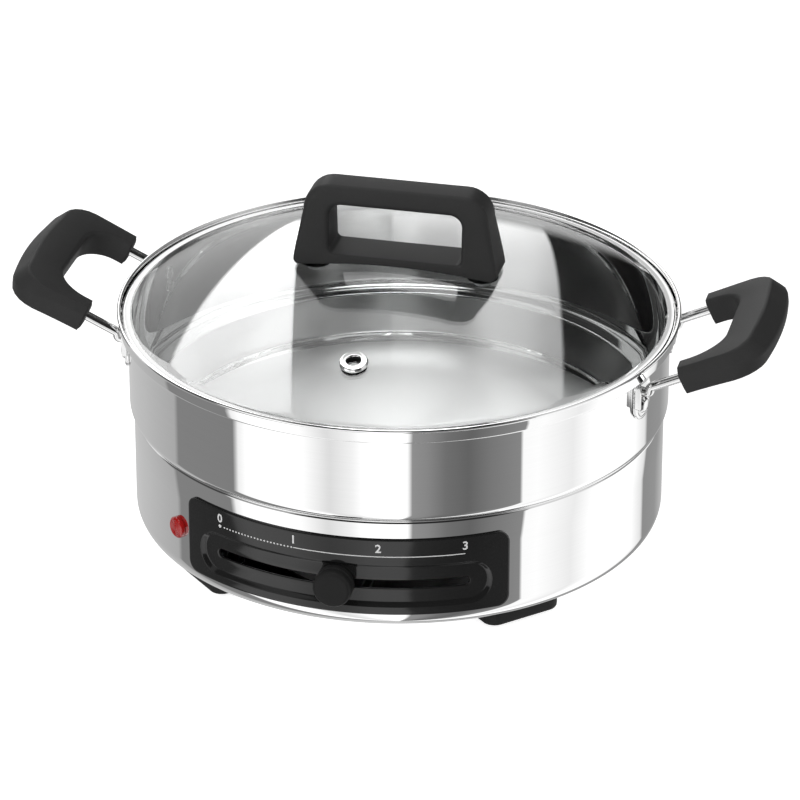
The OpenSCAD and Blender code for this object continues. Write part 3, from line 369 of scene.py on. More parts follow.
def surface(name, build):
    """A material by name, made on first use with build(term), which returns the shader's inputs."""
    title = "Finish." + name
    found = bpy.data.materials.get(title)
    if found:
        return found
    material = bpy.data.materials.new(title)
    material.use_nodes = True
    term = Term(material.node_tree)
    shader = material.node_tree.nodes["Principled BSDF"]
    for socket, value in build(term).items():
        term.join(value, shader.inputs[socket])
    return material


def polar(term):
    """Angle, radius and height of the point about the pot's axis."""
    x, y, z = term.place().parts()
    return x.math("ARCTAN2", y, x), (x * x + y * y) ** 0.5, z


def polished_steel():
    """Mirror polished sheet with faint lines round it from the polishing wheel."""

    def build(term):
        finish = bpy.context.scene.pot_finish
        angle, radius, z = polar(term)
        density = finish.line_density
        lines = term.noise(term.vector(angle * 3.0, z * density, radius * density), 1.0)
        cloud = term.noise(term.place(), 14.0, 3.0)
        return {
            "Base Color": (lines * 0.5 + cloud * 0.5).mix(grey(0.88), grey(0.96)),
            "Metallic": 1.0,
            "Roughness": finish.steel_roughness + lines * 0.008 + cloud * 0.004,
            "Normal": term.bump(lines, 0.002, 0.0002),
        }

    return surface("polished_steel", build)


def spun_steel():
    """Inside of the floor, with the rings that spinning leaves."""

    def build(term):
        angle, radius, z = polar(term)
        rings = term.noise(term.vector(radius * 1900.0, angle * 1.2, z * 10.0), 1.0, 3.0)
        broad = term.noise(term.vector(radius * 160.0, angle * 2.0, 0.0), 1.0)
        return {
            "Base Color": (rings * 0.6 + broad * 0.4).mix(grey(0.84), grey(0.98)),
            "Metallic": 1.0,
            "Roughness": 0.34 + rings * 0.1,
            "Anisotropic": 0.95,
            "Anisotropic Rotation": 0.25,
            "Normal": term.bump(rings + broad * 0.4, 0.05, 0.0004),
        }

    return surface("spun_steel", build)


def bright_steel():
    """Bright drawn wire and pressed fittings."""

    def build(term):
        spot = term.place()
        fine = term.noise(spot, 900.0, 3.0)
        cloud = term.noise(spot, 60.0)
        return {
            "Base Color": cloud.mix(grey(0.76), grey(0.88)),
            "Metallic": 1.0,
            "Roughness": 0.1 + fine * 0.08,
            "Normal": term.bump(fine, 0.03, 0.0001),
        }

    return surface("bright_steel", build)


def moulded(name):
    """Black moulded plastic with a fine grain."""
    tone, roughness, grain, depth, gloss = PLASTICS[name]

    def build(term):
        spot = term.place()
        fine = term.noise(spot, grain, 3.0)
        cloud = term.noise(spot, 40.0, 2.0)
        return {
            "Base Color": (fine * 0.6 + cloud * 0.4).mix(grey(tone * 0.8), grey(tone * 1.25)),
            "Roughness": roughness - 0.05 + cloud * 0.06 + fine * 0.05,
            "Specular IOR Level": gloss,
            "Normal": term.bump(fine, depth, 0.0002),
        }

    return surface(name, build)


def print_white():
    """White printed ink."""

    def build(term):
        fine = term.noise(term.place(), 3000.0, 2.0)
        return {
            "Base Color": fine.mix(grey(0.7), grey(0.86)),
            "Roughness": 0.4 + fine * 0.2,
        }

    return surface("print_white", build)


def lens_red():
    """Clear red plastic over a lit lamp."""

    def build(term):
        spot = term.place()
        fine = term.noise(spot, 500.0, 2.0)
        return {
            "Base Color": fine.mix((0.3, 0.004, 0.005, 1), (0.42, 0.01, 0.009, 1)),
            "Roughness": 0.14 + fine * 0.1,
            "Coat Weight": 0.6,
            "Emission Color": fine.mix((0.5, 0.004, 0.003, 1), (0.7, 0.02, 0.012, 1)),
            "Emission Strength": 0.06,
        }

    return surface("lens_red", build)


def clear_glass():
    """Toughened glass, with the faintest unevenness."""

    def build(term):
        spot = term.place()
        cloud = term.noise(spot, 25.0, 2.0)
        return {
            "Base Color": cloud.mix((0.93, 0.945, 0.94, 1), (0.96, 0.97, 0.965, 1)),
            "Roughness": cloud * 0.012,
            "IOR": 1.9,
            "Transmission Weight": 1.0,
        }

    return surface("clear_glass", build)


def plain(name, low, high, roughness, metallic, grain):
    """A finish for the pieces inside the base."""

    def build(term):
        spot = term.place()
        fine = term.noise(spot, grain, 3.0)
        cloud = term.noise(spot, grain * 0.08, 2.0)
        return {
            "Base Color": (fine * 0.5 + cloud * 0.5).mix((*low, 1), (*high, 1)),
            "Metallic": metallic,
            "Roughness": roughness - 0.06 + fine * 0.12,
            "Normal": term.bump(fine, 0.12, 0.0002),
        }

    return surface(name, build)


# Shapes, in millimetres


def rounded(corners, steps=5, closed=True):
    """Points along a line of corners (x, y, radius), with the corners rounded."""
    points = []
    count = len(corners)
    for i, (x, y, radius) in enumerate(corners):
        here = np.array((x, y), float)
        at_end = not closed and i in (0, count - 1)
        if radius <= 0 or at_end:
            points.append(here)
            continue
        before = np.array(corners[i - 1][:2], float) - here
        after = np.array(corners[(i + 1) % count][:2], float) - here
        before /= np.linalg.norm(before)
        after /= np.linalg.norm(after)
        half = math.acos(float(np.clip(before @ after, -1, 1))) / 2
        middle = (before + after) / np.linalg.norm(before + after)
        centre = here + middle * radius / math.sin(half)
        start = here + before * radius / math.tan(half) - centre
        end = here + after * radius / math.tan(half) - centre
        turn = math.copysign(math.pi - 2 * half, start[0] * end[1] - start[1] * end[0])
        for k in range(steps + 1):
            c = math.cos(turn * k / steps)
            s = math.sin(turn * k / steps)
            points.append(centre + np.array((c * start[0] - s * start[1], s * start[0] + c * start[1])))
    return np.array(points)


def arc(x, y, radius, start, end, steps):
    """Points along an arc, from one angle in degrees to another."""
    angles = np.radians(np.linspace(start, end, steps + 1))
    return np.column_stack((x + radius * np.cos(angles), y + radius * np.sin(angles)))


def lathe(profile, steps, closed=False, cuts=()):
    """A profile of (radius, height) points turned about Z.

    Each cut (i0, i1, j0, j1, k0, k1) takes out the faces from point i0 to i1 and from point j0 to j1,
    between columns k0 and k1, and walls up the opening between the two.
    """
    count = len(profile)
    angles = np.linspace(0, 2 * math.pi, steps, endpoint=False)
    verts = []
    rings = []
    for r, z in profile:
        if abs(r) < MERGE:
            rings.append([len(verts)] * steps)
            verts.append((0.0, 0.0, z))
        else:
            rings.append(list(range(len(verts), len(verts) + steps)))
            verts.extend((r * math.cos(a), r * math.sin(a), z) for a in angles)
    open_cells = set()
    for i0, i1, j0, j1, k0, k1 in cuts:
        for p in (*range(i0, i1), *range(j0, j1)):
            open_cells.update((p, k % steps) for k in range(k0, k1))
    faces = []
    for p in range(count if closed else count - 1):
        a = rings[p]
        b = rings[(p + 1) % count]
        for k in range(steps):
            if (p, k) in open_cells:
                continue
            n = (k + 1) % steps
            corners = [a[k], a[n], b[n], b[k]]
            faces.append(list(dict.fromkeys(corners)))
    for i0, i1, j0, j1, k0, k1 in cuts:
        for low, high in ((i0, j1), (i1, j0)):
            for k in range(k0, k1):
                here = k % steps
                after = (k + 1) % steps
                faces.append([rings[low][here], rings[low][after], rings[high][after], rings[high][here]])
        for k in (k0 % steps, k1 % steps):
            faces.append([rings[p][k] for p in (*range(i0, i1 + 1), *range(j0, j1 + 1))])
    return np.array(verts), faces


def loft(sections, closed=False, caps=True):
    """Closed sections, each a list of points, joined one after another."""
    sections = np.array(sections, float)
    rows, count, _ = sections.shape
    faces = []
    for i in range(rows if closed else rows - 1):
        a = i * count
        b = (i + 1) % rows * count
        for k in range(count):
            n = (k + 1) % count
            faces.append([a + k, a + n, b + n, b + k])
    if caps and not closed:
        faces.append(list(range(count))[::-1])
        faces.append(list(range((rows - 1) * count, rows * count)))
    return sections.reshape(-1, 3), faces


def smooth_path(points, radii, steps=6):
    """A path in space whose corners are rounded, each by its own length along the legs."""
    points = [np.array(p, float) for p in points]
    path = [points[0]]
    for before, here, after, cut in zip(points, points[1:], points[2:], radii):
        start = here + (before - here) / np.linalg.norm(before - here) * cut
        end = here + (after - here) / np.linalg.norm(after - here) * cut
        for t in np.linspace(0, 1, steps + 1):
            path.append((1 - t) ** 2 * start + 2 * t * (1 - t) * here + t * t * end)
    path.append(points[-1])
    return np.array(path)


def sweep(path, radius, steps=20):
    """A round wire along a path."""
    tangents = np.gradient(path, axis=0)
    tangents /= np.linalg.norm(tangents, axis=1)[:, None]
    side = np.cross(tangents[0], ASKEW)
    sections = []
    angles = np.linspace(0, 2 * math.pi, steps, endpoint=False)
    for point, tangent in zip(path, tangents):
        side = side - tangent * (side @ tangent)
        side /= np.linalg.norm(side)
        other = np.cross(tangent, side)
        sections.append(point + radius * (np.outer(np.cos(angles), side) + np.outer(np.sin(angles), other)))
    return loft(sections)


def fill(outline, holes):
    """Triangles of a flat outline with holes, as points and faces."""
    loops = [np.array(outline)] + [np.array(hole) for hole in holes]
    points = np.concatenate(loops)
    edges = []
    start = 0
    for loop in loops:
        count = len(loop)
        edges += [(start + k, start + (k + 1) % count) for k in range(count)]
        start += count
    made = delaunay_2d_cdt([tuple(p) for p in points], edges, [], 0, MERGE)
    flat = np.array([tuple(p) for p in made[0]])
    faces = []
    for face in made[2]:
        middle = flat[list(face)].mean(axis=0)
        if not any(inside(middle, hole) for hole in loops[1:]) and inside(middle, loops[0]):
            faces.append(list(face))
    return flat, faces


def inside(point, loop):
    """Whether a flat point lies inside a closed loop."""
    x, y = point
    after = np.roll(loop, -1, axis=0)
    spans = (loop[:, 1] > y) != (after[:, 1] > y)
    rise = np.where(spans, after[:, 1] - loop[:, 1], 1.0)
    cross = loop[:, 0] + (y - loop[:, 1]) / rise * (after[:, 0] - loop[:, 0])
    return bool(np.count_nonzero(spans & (x < cross)) % 2)


def circle(x, y, radius, steps):
    """Points round a circle."""
    return arc(x, y, radius, 0, 360, steps)[:-1]


def box_outline(half_x, half_y, corner, steps=6):
    """Outline of a rectangle with round corners about the origin."""
    corners = [(half_x, half_y), (-half_x, half_y), (-half_x, -half_y), (half_x, -half_y)]
    return rounded([(x, y, corner) for x, y in corners], steps)


def level(outline, z):
    """A flat outline at a height."""
    return np.column_stack((outline, np.full(len(outline), z)))


def radial(points, angle, z):
    """Points drawn about Z laid on the axis that leaves the pot's middle at an angle and a height."""
    a = math.radians(angle)
    points = np.array(points)
    out = np.array((math.cos(a), math.sin(a), 0))
    side = np.array((-math.sin(a), math.cos(a), 0))
    up = np.array((0, 0, 1))
    placed = np.outer(points[:, 2], out) + np.outer(points[:, 0], side) + np.outer(points[:, 1], up)
    return placed + (0, 0, z)


def turned(points, angle, shift=(0, 0, 0)):
    """Points moved and then turned about Z by an angle in degrees."""
    a = math.radians(angle)
    x, y, z = (np.array(points) + shift).T
    return np.column_stack((x * math.cos(a) - y * math.sin(a), x * math.sin(a) + y * math.cos(a), z))


# Pieces


def make_mesh(name, parts, materials, sharp=SHARP):
    """One mesh in metres from parts of (points, faces, material number)."""
    mesh = bpy.data.meshes.new(name)
    for material in materials:
        mesh.materials.append(material)
    shape = bmesh.new()
    for points, faces, number in parts:
        made = [shape.verts.new(tuple(p)) for p in np.array(points) * MM]
        for corners in faces:
            face = shape.faces.new([made[c] for c in corners])
            face.material_index = number
    bmesh.ops.remove_doubles(shape, verts=shape.verts, dist=MERGE)
    bmesh.ops.recalc_face_normals(shape, faces=shape.faces)
    shape.to_mesh(mesh)
    shape.free()
    mesh.shade_smooth()
    mesh.set_sharp_from_angle(angle=math.radians(sharp))
    return mesh


def add_piece(name, mesh, body, nodes=()):
    """Put a finished mesh in the scene, riding on a body and standing for CAD nodes."""
    made = bpy.data.objects.new(name, mesh)
    bpy.context.scene.collection.objects.link(made)
    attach(made, body)
    if nodes:
        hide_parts(*nodes)
    return made


def piece(name, parts, materials, body, nodes=(), sharp=SHARP):
    """A piece from parts of (points, faces) or (points, faces, material number)."""
    full = [part if len(part) == 3 else (*part, 0) for part in parts]
    return add_piece(name, make_mesh(name, full, materials, sharp), body, nodes)


def copies_tree(material):
    """A node tree that sets copies of a shape on points, facing and spun by an attribute and a seed."""
    tree = bpy.data.node_groups.new("Copies", "GeometryNodeTree")
    face = tree.interface
    face.new_socket(name="Geometry", in_out="INPUT", socket_type="NodeSocketGeometry")
    shape = face.new_socket(name="Shape", in_out="INPUT", socket_type="NodeSocketObject")
    seed = face.new_socket(name="Seed", in_out="INPUT", socket_type="NodeSocketInt")
    face.new_socket(name="Geometry", in_out="OUTPUT", socket_type="NodeSocketGeometry")
    term = Term(tree)
    given = tree.nodes.new("NodeGroupInput")
    geometry, shape_in, seed_in = [Term(tree, given.outputs[k]) for k in range(3)]
    points = term.node("GeometryNodeMeshToPoints", None, {"Mesh": geometry})
    facing = term.node("GeometryNodeInputNamedAttribute", {"data_type": "FLOAT_VECTOR"}, {"Name": "facing"})
    aligned = term.node("FunctionNodeAlignRotationToVector", {"axis": "Z"}, {"Vector": facing})
    spin = term.node("FunctionNodeRandomValue", {"data_type": "FLOAT"}, {"Seed": seed_in}, 1)
    spun = term.node("FunctionNodeAxisAngleToRotation", None, {"Angle": spin * math.tau})
    turn = term.node("FunctionNodeRotateRotation", {"rotation_space": "LOCAL"}, {0: aligned, 1: spun})
    source = term.node("GeometryNodeObjectInfo", None, {"Object": shape_in}, "Geometry")
    sockets = {"Points": points, "Instance": source, "Rotation": turn}
    laid = term.node("GeometryNodeInstanceOnPoints", None, sockets)
    real = term.node("GeometryNodeRealizeInstances", None, {"Geometry": laid})
    done = term.node("GeometryNodeSetMaterial", None, {"Geometry": real, "Material": material})
    result = tree.nodes.new("NodeGroupOutput")
    term.join(done, result.inputs[0])
    return tree, shape.identifier, seed.identifier


def copies(name, shape, spots, material, sharp=SHARP):
    """A mesh of copies of a shape, its Z axis laid along each spot's direction, by Geometry Nodes."""
    carrier_mesh = bpy.data.meshes.new(name + ".spots")
    carrier_mesh.from_pydata([tuple(np.array(place) * MM) for place, _ in spots], [], [])
    facing = carrier_mesh.attributes.new("facing", "FLOAT_VECTOR", "POINT")
    facing.data.foreach_set("vector", [c for _, way in spots for c in way])
    carrier = bpy.data.objects.new(name + ".spots", carrier_mesh)
    source_mesh = make_mesh(name + ".shape", [(*shape, 0)], [material], sharp)
    source = bpy.data.objects.new(name + ".shape", source_mesh)
    for made in (carrier, source):
        bpy.context.scene.collection.objects.link(made)
    tree, shape_key, seed_key = copies_tree(material)
    modifier = carrier.modifiers.new("Copies", "NODES")
    modifier.node_group = tree
    modifier[shape_key] = source
    modifier[seed_key] = COPY_SEED
    bpy.context.view_layer.update()
    seen = carrier.evaluated_get(bpy.context.evaluated_depsgraph_get())
    mesh = bpy.data.meshes.new_from_object(seen)
    mesh.name = name
    carrier.modifiers.remove(modifier)
    for made in (carrier, source):
        bpy.data.objects.remove(made)
    bpy.data.meshes.remove(carrier_mesh)
    bpy.data.meshes.remove(source_mesh)
    bpy.data.node_groups.remove(tree)
    return mesh


def screw_head(radius, height, arm, depth):
    """A pan head with a cross recess, standing on the origin."""
    steps = 32
    rim = circle(0, 0, radius, steps)
    edge = circle(0, 0, radius * 0.93, steps)
    top = circle(0, 0, radius * 0.8, steps)
    half = arm * 0.28
    cross = [(arm, half), (half, half), (half, arm), (-half, arm), (-half, half), (-arm, half)]
    cross += [(-x, -y) for x, y in cross]
    cross = np.array(cross)
    flat, faces = fill(top, [cross])
    sides = loft([
        level(rim, 0), level(rim, height * 0.55), level(edge, height * 0.85), level(top, height),
    ], caps=False)
    recess = level(cross * 0.8, height - depth)
    walls = loft([level(cross, height), recess], caps=False)
    floor_face = [list(range(len(cross)))]
    base_face = [list(range(len(rim)))]
    parts = [
        sides, (level(flat, height), faces), walls, (recess, floor_face), (level(rim, 0), base_face),
    ]
    points = []
    joined = []
    for part_points, part_faces in parts:
        start = len(points)
        points.extend(part_points)
        joined.extend([[c + start for c in face] for face in part_faces])
    return np.array(points), joined


# Settings


class PotFinish(bpy.types.PropertyGroup):
    """Finish of the metal and plastic."""

    steel_roughness: bpy.props.FloatProperty(
        name="Steel roughness", description="Roughness of the polished sheet", default=0.004, min=0, max=1)
    line_density: bpy.props.FloatProperty(
        name="Line density", description="Polishing lines to a metre", default=1400.0, min=1)
    turn_steps: bpy.props.IntProperty(
        name="Turn steps", description="Faces round the large turned pieces", default=256, min=64)


class PotStage(bpy.types.PropertyGroup):
    """Camera and light."""

    azimuth: bpy.props.FloatProperty(
        name="Azimuth", description="Camera's turn from the front", default=math.radians(13.3),
        unit="ROTATION")
    elevation: bpy.props.FloatProperty(
        name="Elevation", description="Camera's height angle", default=math.radians(26.47), unit="ROTATION")
    distance: bpy.props.FloatProperty(
        name="Distance", description="Camera's distance from its target", default=2.519, unit="LENGTH")
    target: bpy.props.FloatProperty(
        name="Target", description="Height that the camera looks at", default=0.07507, unit="LENGTH")
    focal: bpy.props.FloatProperty(
        name="Focal length", description="Focal length in millimetres", default=216.0, min=1)
    shift: bpy.props.FloatProperty(
        name="Shift", description="Sideways shift of the picture", default=0.001125)
    key: bpy.props.FloatProperty(
        name="Key", description="Power of the key lamp in watts", default=22.0, min=0)
    fill: bpy.props.FloatProperty(
        name="Fill", description="Power of the fill lamp in watts", default=10.0, min=0)
    sky: bpy.props.FloatProperty(
        name="Sky", description="Level of the even light", default=0.3, min=0)


# Operators


class POT_OT_stage(bpy.types.Operator):
    """Make the camera, the lamps, the studio and the floor"""

    bl_idname = "pot.stage"
    bl_label = "Stage"

    def execute(self, context):
        stage = context.scene.pot_stage
        make_camera(context.scene, stage)
        make_lamp("Key", KEY_PLACE, KEY_SIZE, stage.key)
        make_lamp("Fill", FILL_PLACE, FILL_SIZE, stage.fill)
        make_world(context.scene, stage)
        make_floor()
        context.scene.view_settings.view_transform = "Standard"
        return {"FINISHED"}


def aim(place, target):
    """A matrix that stands at a place and looks at a target."""
    back = (np.array(place) - target) / np.linalg.norm(np.array(place) - target)
    side = np.cross((0, 0, 1), back)
    side /= np.linalg.norm(side)
    up = np.cross(back, side)
    matrix = Matrix.Identity(4)
    for k in range(3):
        matrix[k][0] = side[k]
        matrix[k][1] = up[k]
        matrix[k][2] = back[k]
        matrix[k][3] = place[k]
    return matrix


def make_camera(scene, stage):
    """The camera at the photograph's angle."""
    data = bpy.data.cameras.new("Camera")
    data.lens = stage.focal
    data.sensor_width = SENSOR
    data.shift_x = stage.shift
    data.clip_end = CLIP_END
    camera = bpy.data.objects.new("Camera", data)
    scene.collection.objects.link(camera)
    flat = math.cos(stage.elevation) * stage.distance
    target = np.array((0, 0, stage.target))
    away = np.array((math.sin(stage.azimuth) * flat, -math.cos(stage.azimuth) * flat,
                     math.sin(stage.elevation) * stage.distance))
    camera.matrix_world = aim(target + away, target)
    scene.camera = camera


def make_lamp(name, place, size, power):
    """A soft lamp turned to the pot, which the polished metal doesn't mirror."""
    data = bpy.data.lights.new(name, "AREA")
    data.shape = "DISK"
    data.size = size
    data.energy = power
    lamp = bpy.data.objects.new(name, data)
    lamp.matrix_world = aim(place, LAMP_TARGET)
    lamp.visible_glossy = False
    lamp.visible_transmission = False
    bpy.context.scene.collection.objects.link(lamp)


# Levels of the studio's panels below and above the horizon, by the turn from the camera in degrees
LOW_PANELS = (
    (-180, 0.62), (-140, 0.52), (-112, 0.42), (-110, 0.23), (-75, 0.22), (-74, 0.9), (-66, 1.25), (-48, 1.25),
    (-40, 1.05), (-30, 0.77), (-20, 0.96), (-12, 1.25), (4, 1.25), (4.6, 0.3), (12, 0.26), (20, 0.17),
    (30, 0.135), (40, 0.2), (54, 0.26), (54.6, 1.05), (62, 1.08), (80, 0.9), (98, 1.25), (112, 1.25),
    (120, 1.15), (132, 0.8), (132.6, 0.28), (150, 0.31), (160, 0.44), (180, 0.6),
)
HIGH_PANELS = (
    (-180, 0.6), (-134, 0.8), (-118, 0.8), (-114, 0.08), (-78, 0.05), (-72, 0.4), (-48, 0.45), (-44, 0.02),
    (46, 0.02), (52, 0.3), (58, 0.7), (92, 0.7), (100, 0.3), (126, 0.3), (134, 0.1), (180, 0.6),
)
# Levels of the panels behind the pot, by how far to the side the dome shows them
BACK_PANELS = (
    (-0.5, 3.4), (-0.176, 3.4), (-0.172, 0.6), (-0.014, 0.6), (-0.01, 1.0), (0.1, 1.2), (0.14, 1.9),
    (0.27, 1.5), (0.276, 0.01), (0.45, 0.01), (0.5, 0.1),
)
# Slanted edge of the white panel among them with its softness, and the level beside it
WHITE_SLANT = 0.3
WHITE_EDGE = -0.21
WHITE_SOFT = 0.01
WHITE_BESIDE = 0.7
# Levels of the panel overhead, of the one high behind the pot and of the dark before it, and the strongest
# level that a ring of panels holds
TOP_PANEL = 3.0
BACK_TOP = 2.8
TOP_DARK = 0.05
PANEL_MAX = 6.0
# Where one part of the studio gives way to the next: by the turn from the camera, or by height
BEHIND_TURNS = (math.radians(131), math.radians(134))
BACK_TOP_RISE = (0.78, 0.95)
TOP_DARK_RISE = (0.8, 0.86)
TOP_PANEL_RISE = (0.965, 0.975)
HORIZON_RISE = (-0.05, 0.05)


def panel_ring(term, place, panels):
    """Levels of panels over a place between 0 and 1."""
    stops = [(spot, strength / PANEL_MAX) for spot, strength in panels]
    return term.node("ShaderNodeValToRGB", {"stops": stops}, {0: place}) * PANEL_MAX


def between(term, value, low, high):
    """How far a value is from low to high, from 0 to 1."""
    return term.node("ShaderNodeMapRange", None, {0: value, 1: low, 2: high, 3: 0.0, 4: 1.0})


def make_world(scene, stage):
    """An even light, and for mirrored and seen-through directions the panels of the studio."""
    world = bpy.data.worlds.new("Studio")
    world.use_nodes = True
    scene.world = world
    tree = world.node_tree
    term = Term(tree)
    x, y, z = term.node("ShaderNodeTexCoord", None, None, "Generated").parts()
    camera_turn = stage.azimuth - math.pi / 2
    away = x.math("WRAP", x.math("ARCTAN2", y, x) - camera_turn, math.pi, -math.pi)
    turn = away / math.tau + 0.5
    low = panel_ring(term, turn, [(t / 360 + 0.5, strength) for t, strength in LOW_PANELS])
    high = panel_ring(term, turn, [(t / 360 + 0.5, strength) for t, strength in HIGH_PANELS])
    side = x * math.cos(stage.azimuth) + y * math.sin(stage.azimuth)
    rise = z.math("ARCSINE", z)
    tilt = (rise + stage.elevation) / 2
    across = side / (tilt.math("SINE", tilt) * 2.0)
    back = panel_ring(term, across + 0.5, [(place + 0.5, strength) for place, strength in BACK_PANELS])
    white = between(term, across + rise * WHITE_SLANT, WHITE_EDGE, WHITE_EDGE + WHITE_SOFT)
    back = white.mix(grey(WHITE_BESIDE), back)
    behind = between(term, away.math("ABSOLUTE", away), *BEHIND_TURNS)
    back = between(term, z, *BACK_TOP_RISE).mix(back, grey(BACK_TOP))
    high = between(term, z, *TOP_DARK_RISE).mix(high, grey(TOP_DARK))
    above = behind.mix(high, back)
    above = between(term, z, *TOP_PANEL_RISE).mix(above, grey(TOP_PANEL))
    studio = between(term, z, *HORIZON_RISE).mix(low, above)
    path = tree.nodes.new("ShaderNodeLightPath")
    seen = Term(tree, path.outputs["Is Camera Ray"])
    glossy = Term(tree, path.outputs["Is Glossy Ray"])
    through = Term(tree, path.outputs["Is Transmission Ray"])
    mirrored = x.math("MAXIMUM", glossy, through)
    colour = seen.mix(mirrored.mix(grey(stage.sky), studio), grey(1.0))
    term.join(colour, tree.nodes["Background"].inputs["Color"])


def make_floor():
    """A pale floor that takes the pot's shadow."""
    ways = ((-1, -1), (1, -1), (1, 1), (-1, 1))
    corners = [(x * FLOOR_HALF, y * FLOOR_HALF, 0) for x, y in ways]
    material = bpy.data.materials.new("Floor")
    material.use_nodes = True
    tree = material.node_tree
    tree.nodes.clear()
    term = Term(tree)
    seen = term.node("ShaderNodeLightPath", None, None, "Is Camera Ray")
    cloud = term.noise(term.place(), 3.0)
    matte = term.node("ShaderNodeBsdfDiffuse", None, {"Color": cloud.mix(grey(0.78), grey(0.8))})
    glow = term.node("ShaderNodeEmission", None, {"Color": grey(1.0), "Strength": seen * FLOOR_GLOW})
    both = term.node("ShaderNodeAddShader", None, {0: matte, 1: glow})
    term.join(both, tree.nodes.new("ShaderNodeOutputMaterial").inputs["Surface"])
    mesh = make_mesh("Floor", [(corners, [[0, 1, 2, 3]], 0)], [material])
    floor = bpy.data.objects.new("Floor", mesh)
    bpy.context.scene.collection.objects.link(floor)
    floor.visible_glossy = False
    floor.visible_transmission = False


class POT_OT_vessel(bpy.types.Operator):
    """Make the pot with its band and rolled rim"""

    bl_idname = "pot.vessel"
    bl_label = "Vessel"

    def execute(self, context):
        steps = context.scene.pot_finish.turn_steps
        rim_x = R_BAND_IN + R_BEAD
        rim_z = Z_RIM - R_BEAD
        outer = rounded([
            (0, Z_FLOOR, 0), (R_LOWER, Z_FLOOR, R_FLOOR_BEND), (R_LOWER, Z_SEAM, 0.5),
            (R_WALL, Z_SEAM, R_SHOULDER), (R_WALL, Z_BAND, 0.7), (R_BAND, Z_BAND, 1.0),
            (R_BAND, Z_BAND + 4, 0),
        ], 12, closed=False)
        bead = arc(rim_x, rim_z, R_BEAD, *BEAD_ANGLES, BEND_STEPS)
        floor_z = Z_FLOOR + POT_SHEET
        inner_r = R_LOWER - POT_SHEET
        bend = R_FLOOR_BEND - POT_SHEET
        inner = rounded([
            (R_BAND_IN, Z_RIM - 2, 0), (R_BAND_IN, Z_SEAT, 0.6), (R_WALL_IN, Z_SEAT, 0.8),
            (R_WALL_IN, Z_SEAM + POT_SHEET, R_SHOULDER - POT_SHEET), (inner_r, Z_SEAM + POT_SHEET, 1.2),
            (inner_r, floor_z + bend, 0),
        ], 12, closed=False)
        shell = lathe(np.concatenate((outer, bead, inner)), steps)
        curve = arc(inner_r - bend, floor_z + bend, bend, 0, -90, BEND_STEPS)
        polished = lathe(curve[:SPUN_FROM + 1], steps)
        flat = [(r, floor_z) for r in np.linspace(inner_r - bend, 0, 12)[1:]]
        floor = lathe(np.concatenate((curve[SPUN_FROM:], flat)), steps)
        piece("Vessel", [(*shell, 0), (*polished, 0), (*floor, 1)], [polished_steel(), spun_steel()],
              "cooker", ["pot_body"])
        return {"FINISHED"}


class POT_OT_base(bpy.types.Operator):
    """Make the base shell with its air holes and the openings for the panel and the inlet"""

    bl_idname = "pot.base"
    bl_label = "Base"

    def execute(self, context):
        steps = context.scene.pot_finish.turn_steps
        rows = (WINDOW_LOW, INLET_HIGH, WINDOW_HIGH)
        start = rounded([
            (R_BOTTOM, Z_BASE, 0), (R_BASE, Z_BASE, R_BASE_EDGE), (R_BASE, INLET_LOW, 0),
        ], 12, closed=False)
        low = len(start) - 1
        end = rounded([
            (R_BASE, WINDOW_HIGH + 6, 0), (R_BASE, Z_SEAM, R_BASE_TOP), (R_FLANGE_IN, Z_SEAM, 0.2),
            (R_FLANGE_IN, Z_SEAM - BASE_SHEET, 0.2),
            (R_BASE_IN, Z_SEAM - BASE_SHEET, R_BASE_TOP - BASE_SHEET), (R_BASE_IN, WINDOW_HIGH + 6, 0),
        ], 6, closed=False)
        up = [(R_BASE, z) for z in rows]
        down = [(R_BASE_IN, z) for z in (*rows[::-1], INLET_LOW)]
        last = rounded([
            (R_BASE_IN, INLET_LOW - 0.1, 0), (R_BASE_IN, Z_BASE + BASE_SHEET, R_BASE_EDGE - BASE_SHEET),
            (R_BOTTOM, Z_BASE + BASE_SHEET, 0),
        ], 12, closed=False)
        profile = np.concatenate((start, up, end, down, last))
        back = low + len(up) + len(end) + len(down)
        cuts = []
        for angle, half, first, last_row in ((FRONT + 360, WINDOW_ANGLE, 1, 3), (REAR, INLET_ANGLE, 0, 2)):
            middle = round(angle * steps / 360)
            reach = round(half * steps / 360)
            rows_cut = (low + first, low + last_row, back - last_row, back - first)
            cuts.append((*rows_cut, middle - reach, middle + reach))
        wall = lathe(profile, steps, cuts=cuts)
        holes = []
        for k in range(AIR_HOLES):
            a = math.tau * k / AIR_HOLES
            holes.append(circle(AIR_HOLE_RING * math.cos(a), AIR_HOLE_RING * math.sin(a), AIR_HOLE_R, 24))
        flat, faces = fill(circle(0, 0, R_BOTTOM, steps), holes)
        parts = [wall, (level(flat, Z_BASE), faces), (level(flat, Z_BASE + BASE_SHEET), faces)]
        for hole in holes:
            parts.append(loft([level(hole, Z_BASE), level(hole, Z_BASE + BASE_SHEET)], caps=False))
        piece("Base", parts, [polished_steel()], "cooker", ["base_shell"])
        return {"FINISHED"}


def panel_loop(half, middle, height, corner, r):
    """A rounded rectangle bent round the base, its sides at half to each side of the front."""
    corner = min(corner, height / 2 * 0.98)
    top = middle + height / 2
    low = middle - height / 2
    side = half - corner
    steps = PANEL_CORNER_STEPS
    run = np.linspace(-side, side, PANEL_RUN_STEPS)[1:-1]
    flat = np.concatenate((
        np.column_stack((run, np.full(len(run), low))),
        arc(side, low + corner, corner, -90, 0, steps),
        arc(side, top - corner, corner, 0, 90, steps),
        np.column_stack((run[::-1], np.full(len(run), top))),
        arc(-side, top - corner, corner, 90, 180, steps),
        arc(-side, low + corner, corner, 180, 270, steps),
    ))
    return bent(flat[:, 0], flat[:, 1], r)


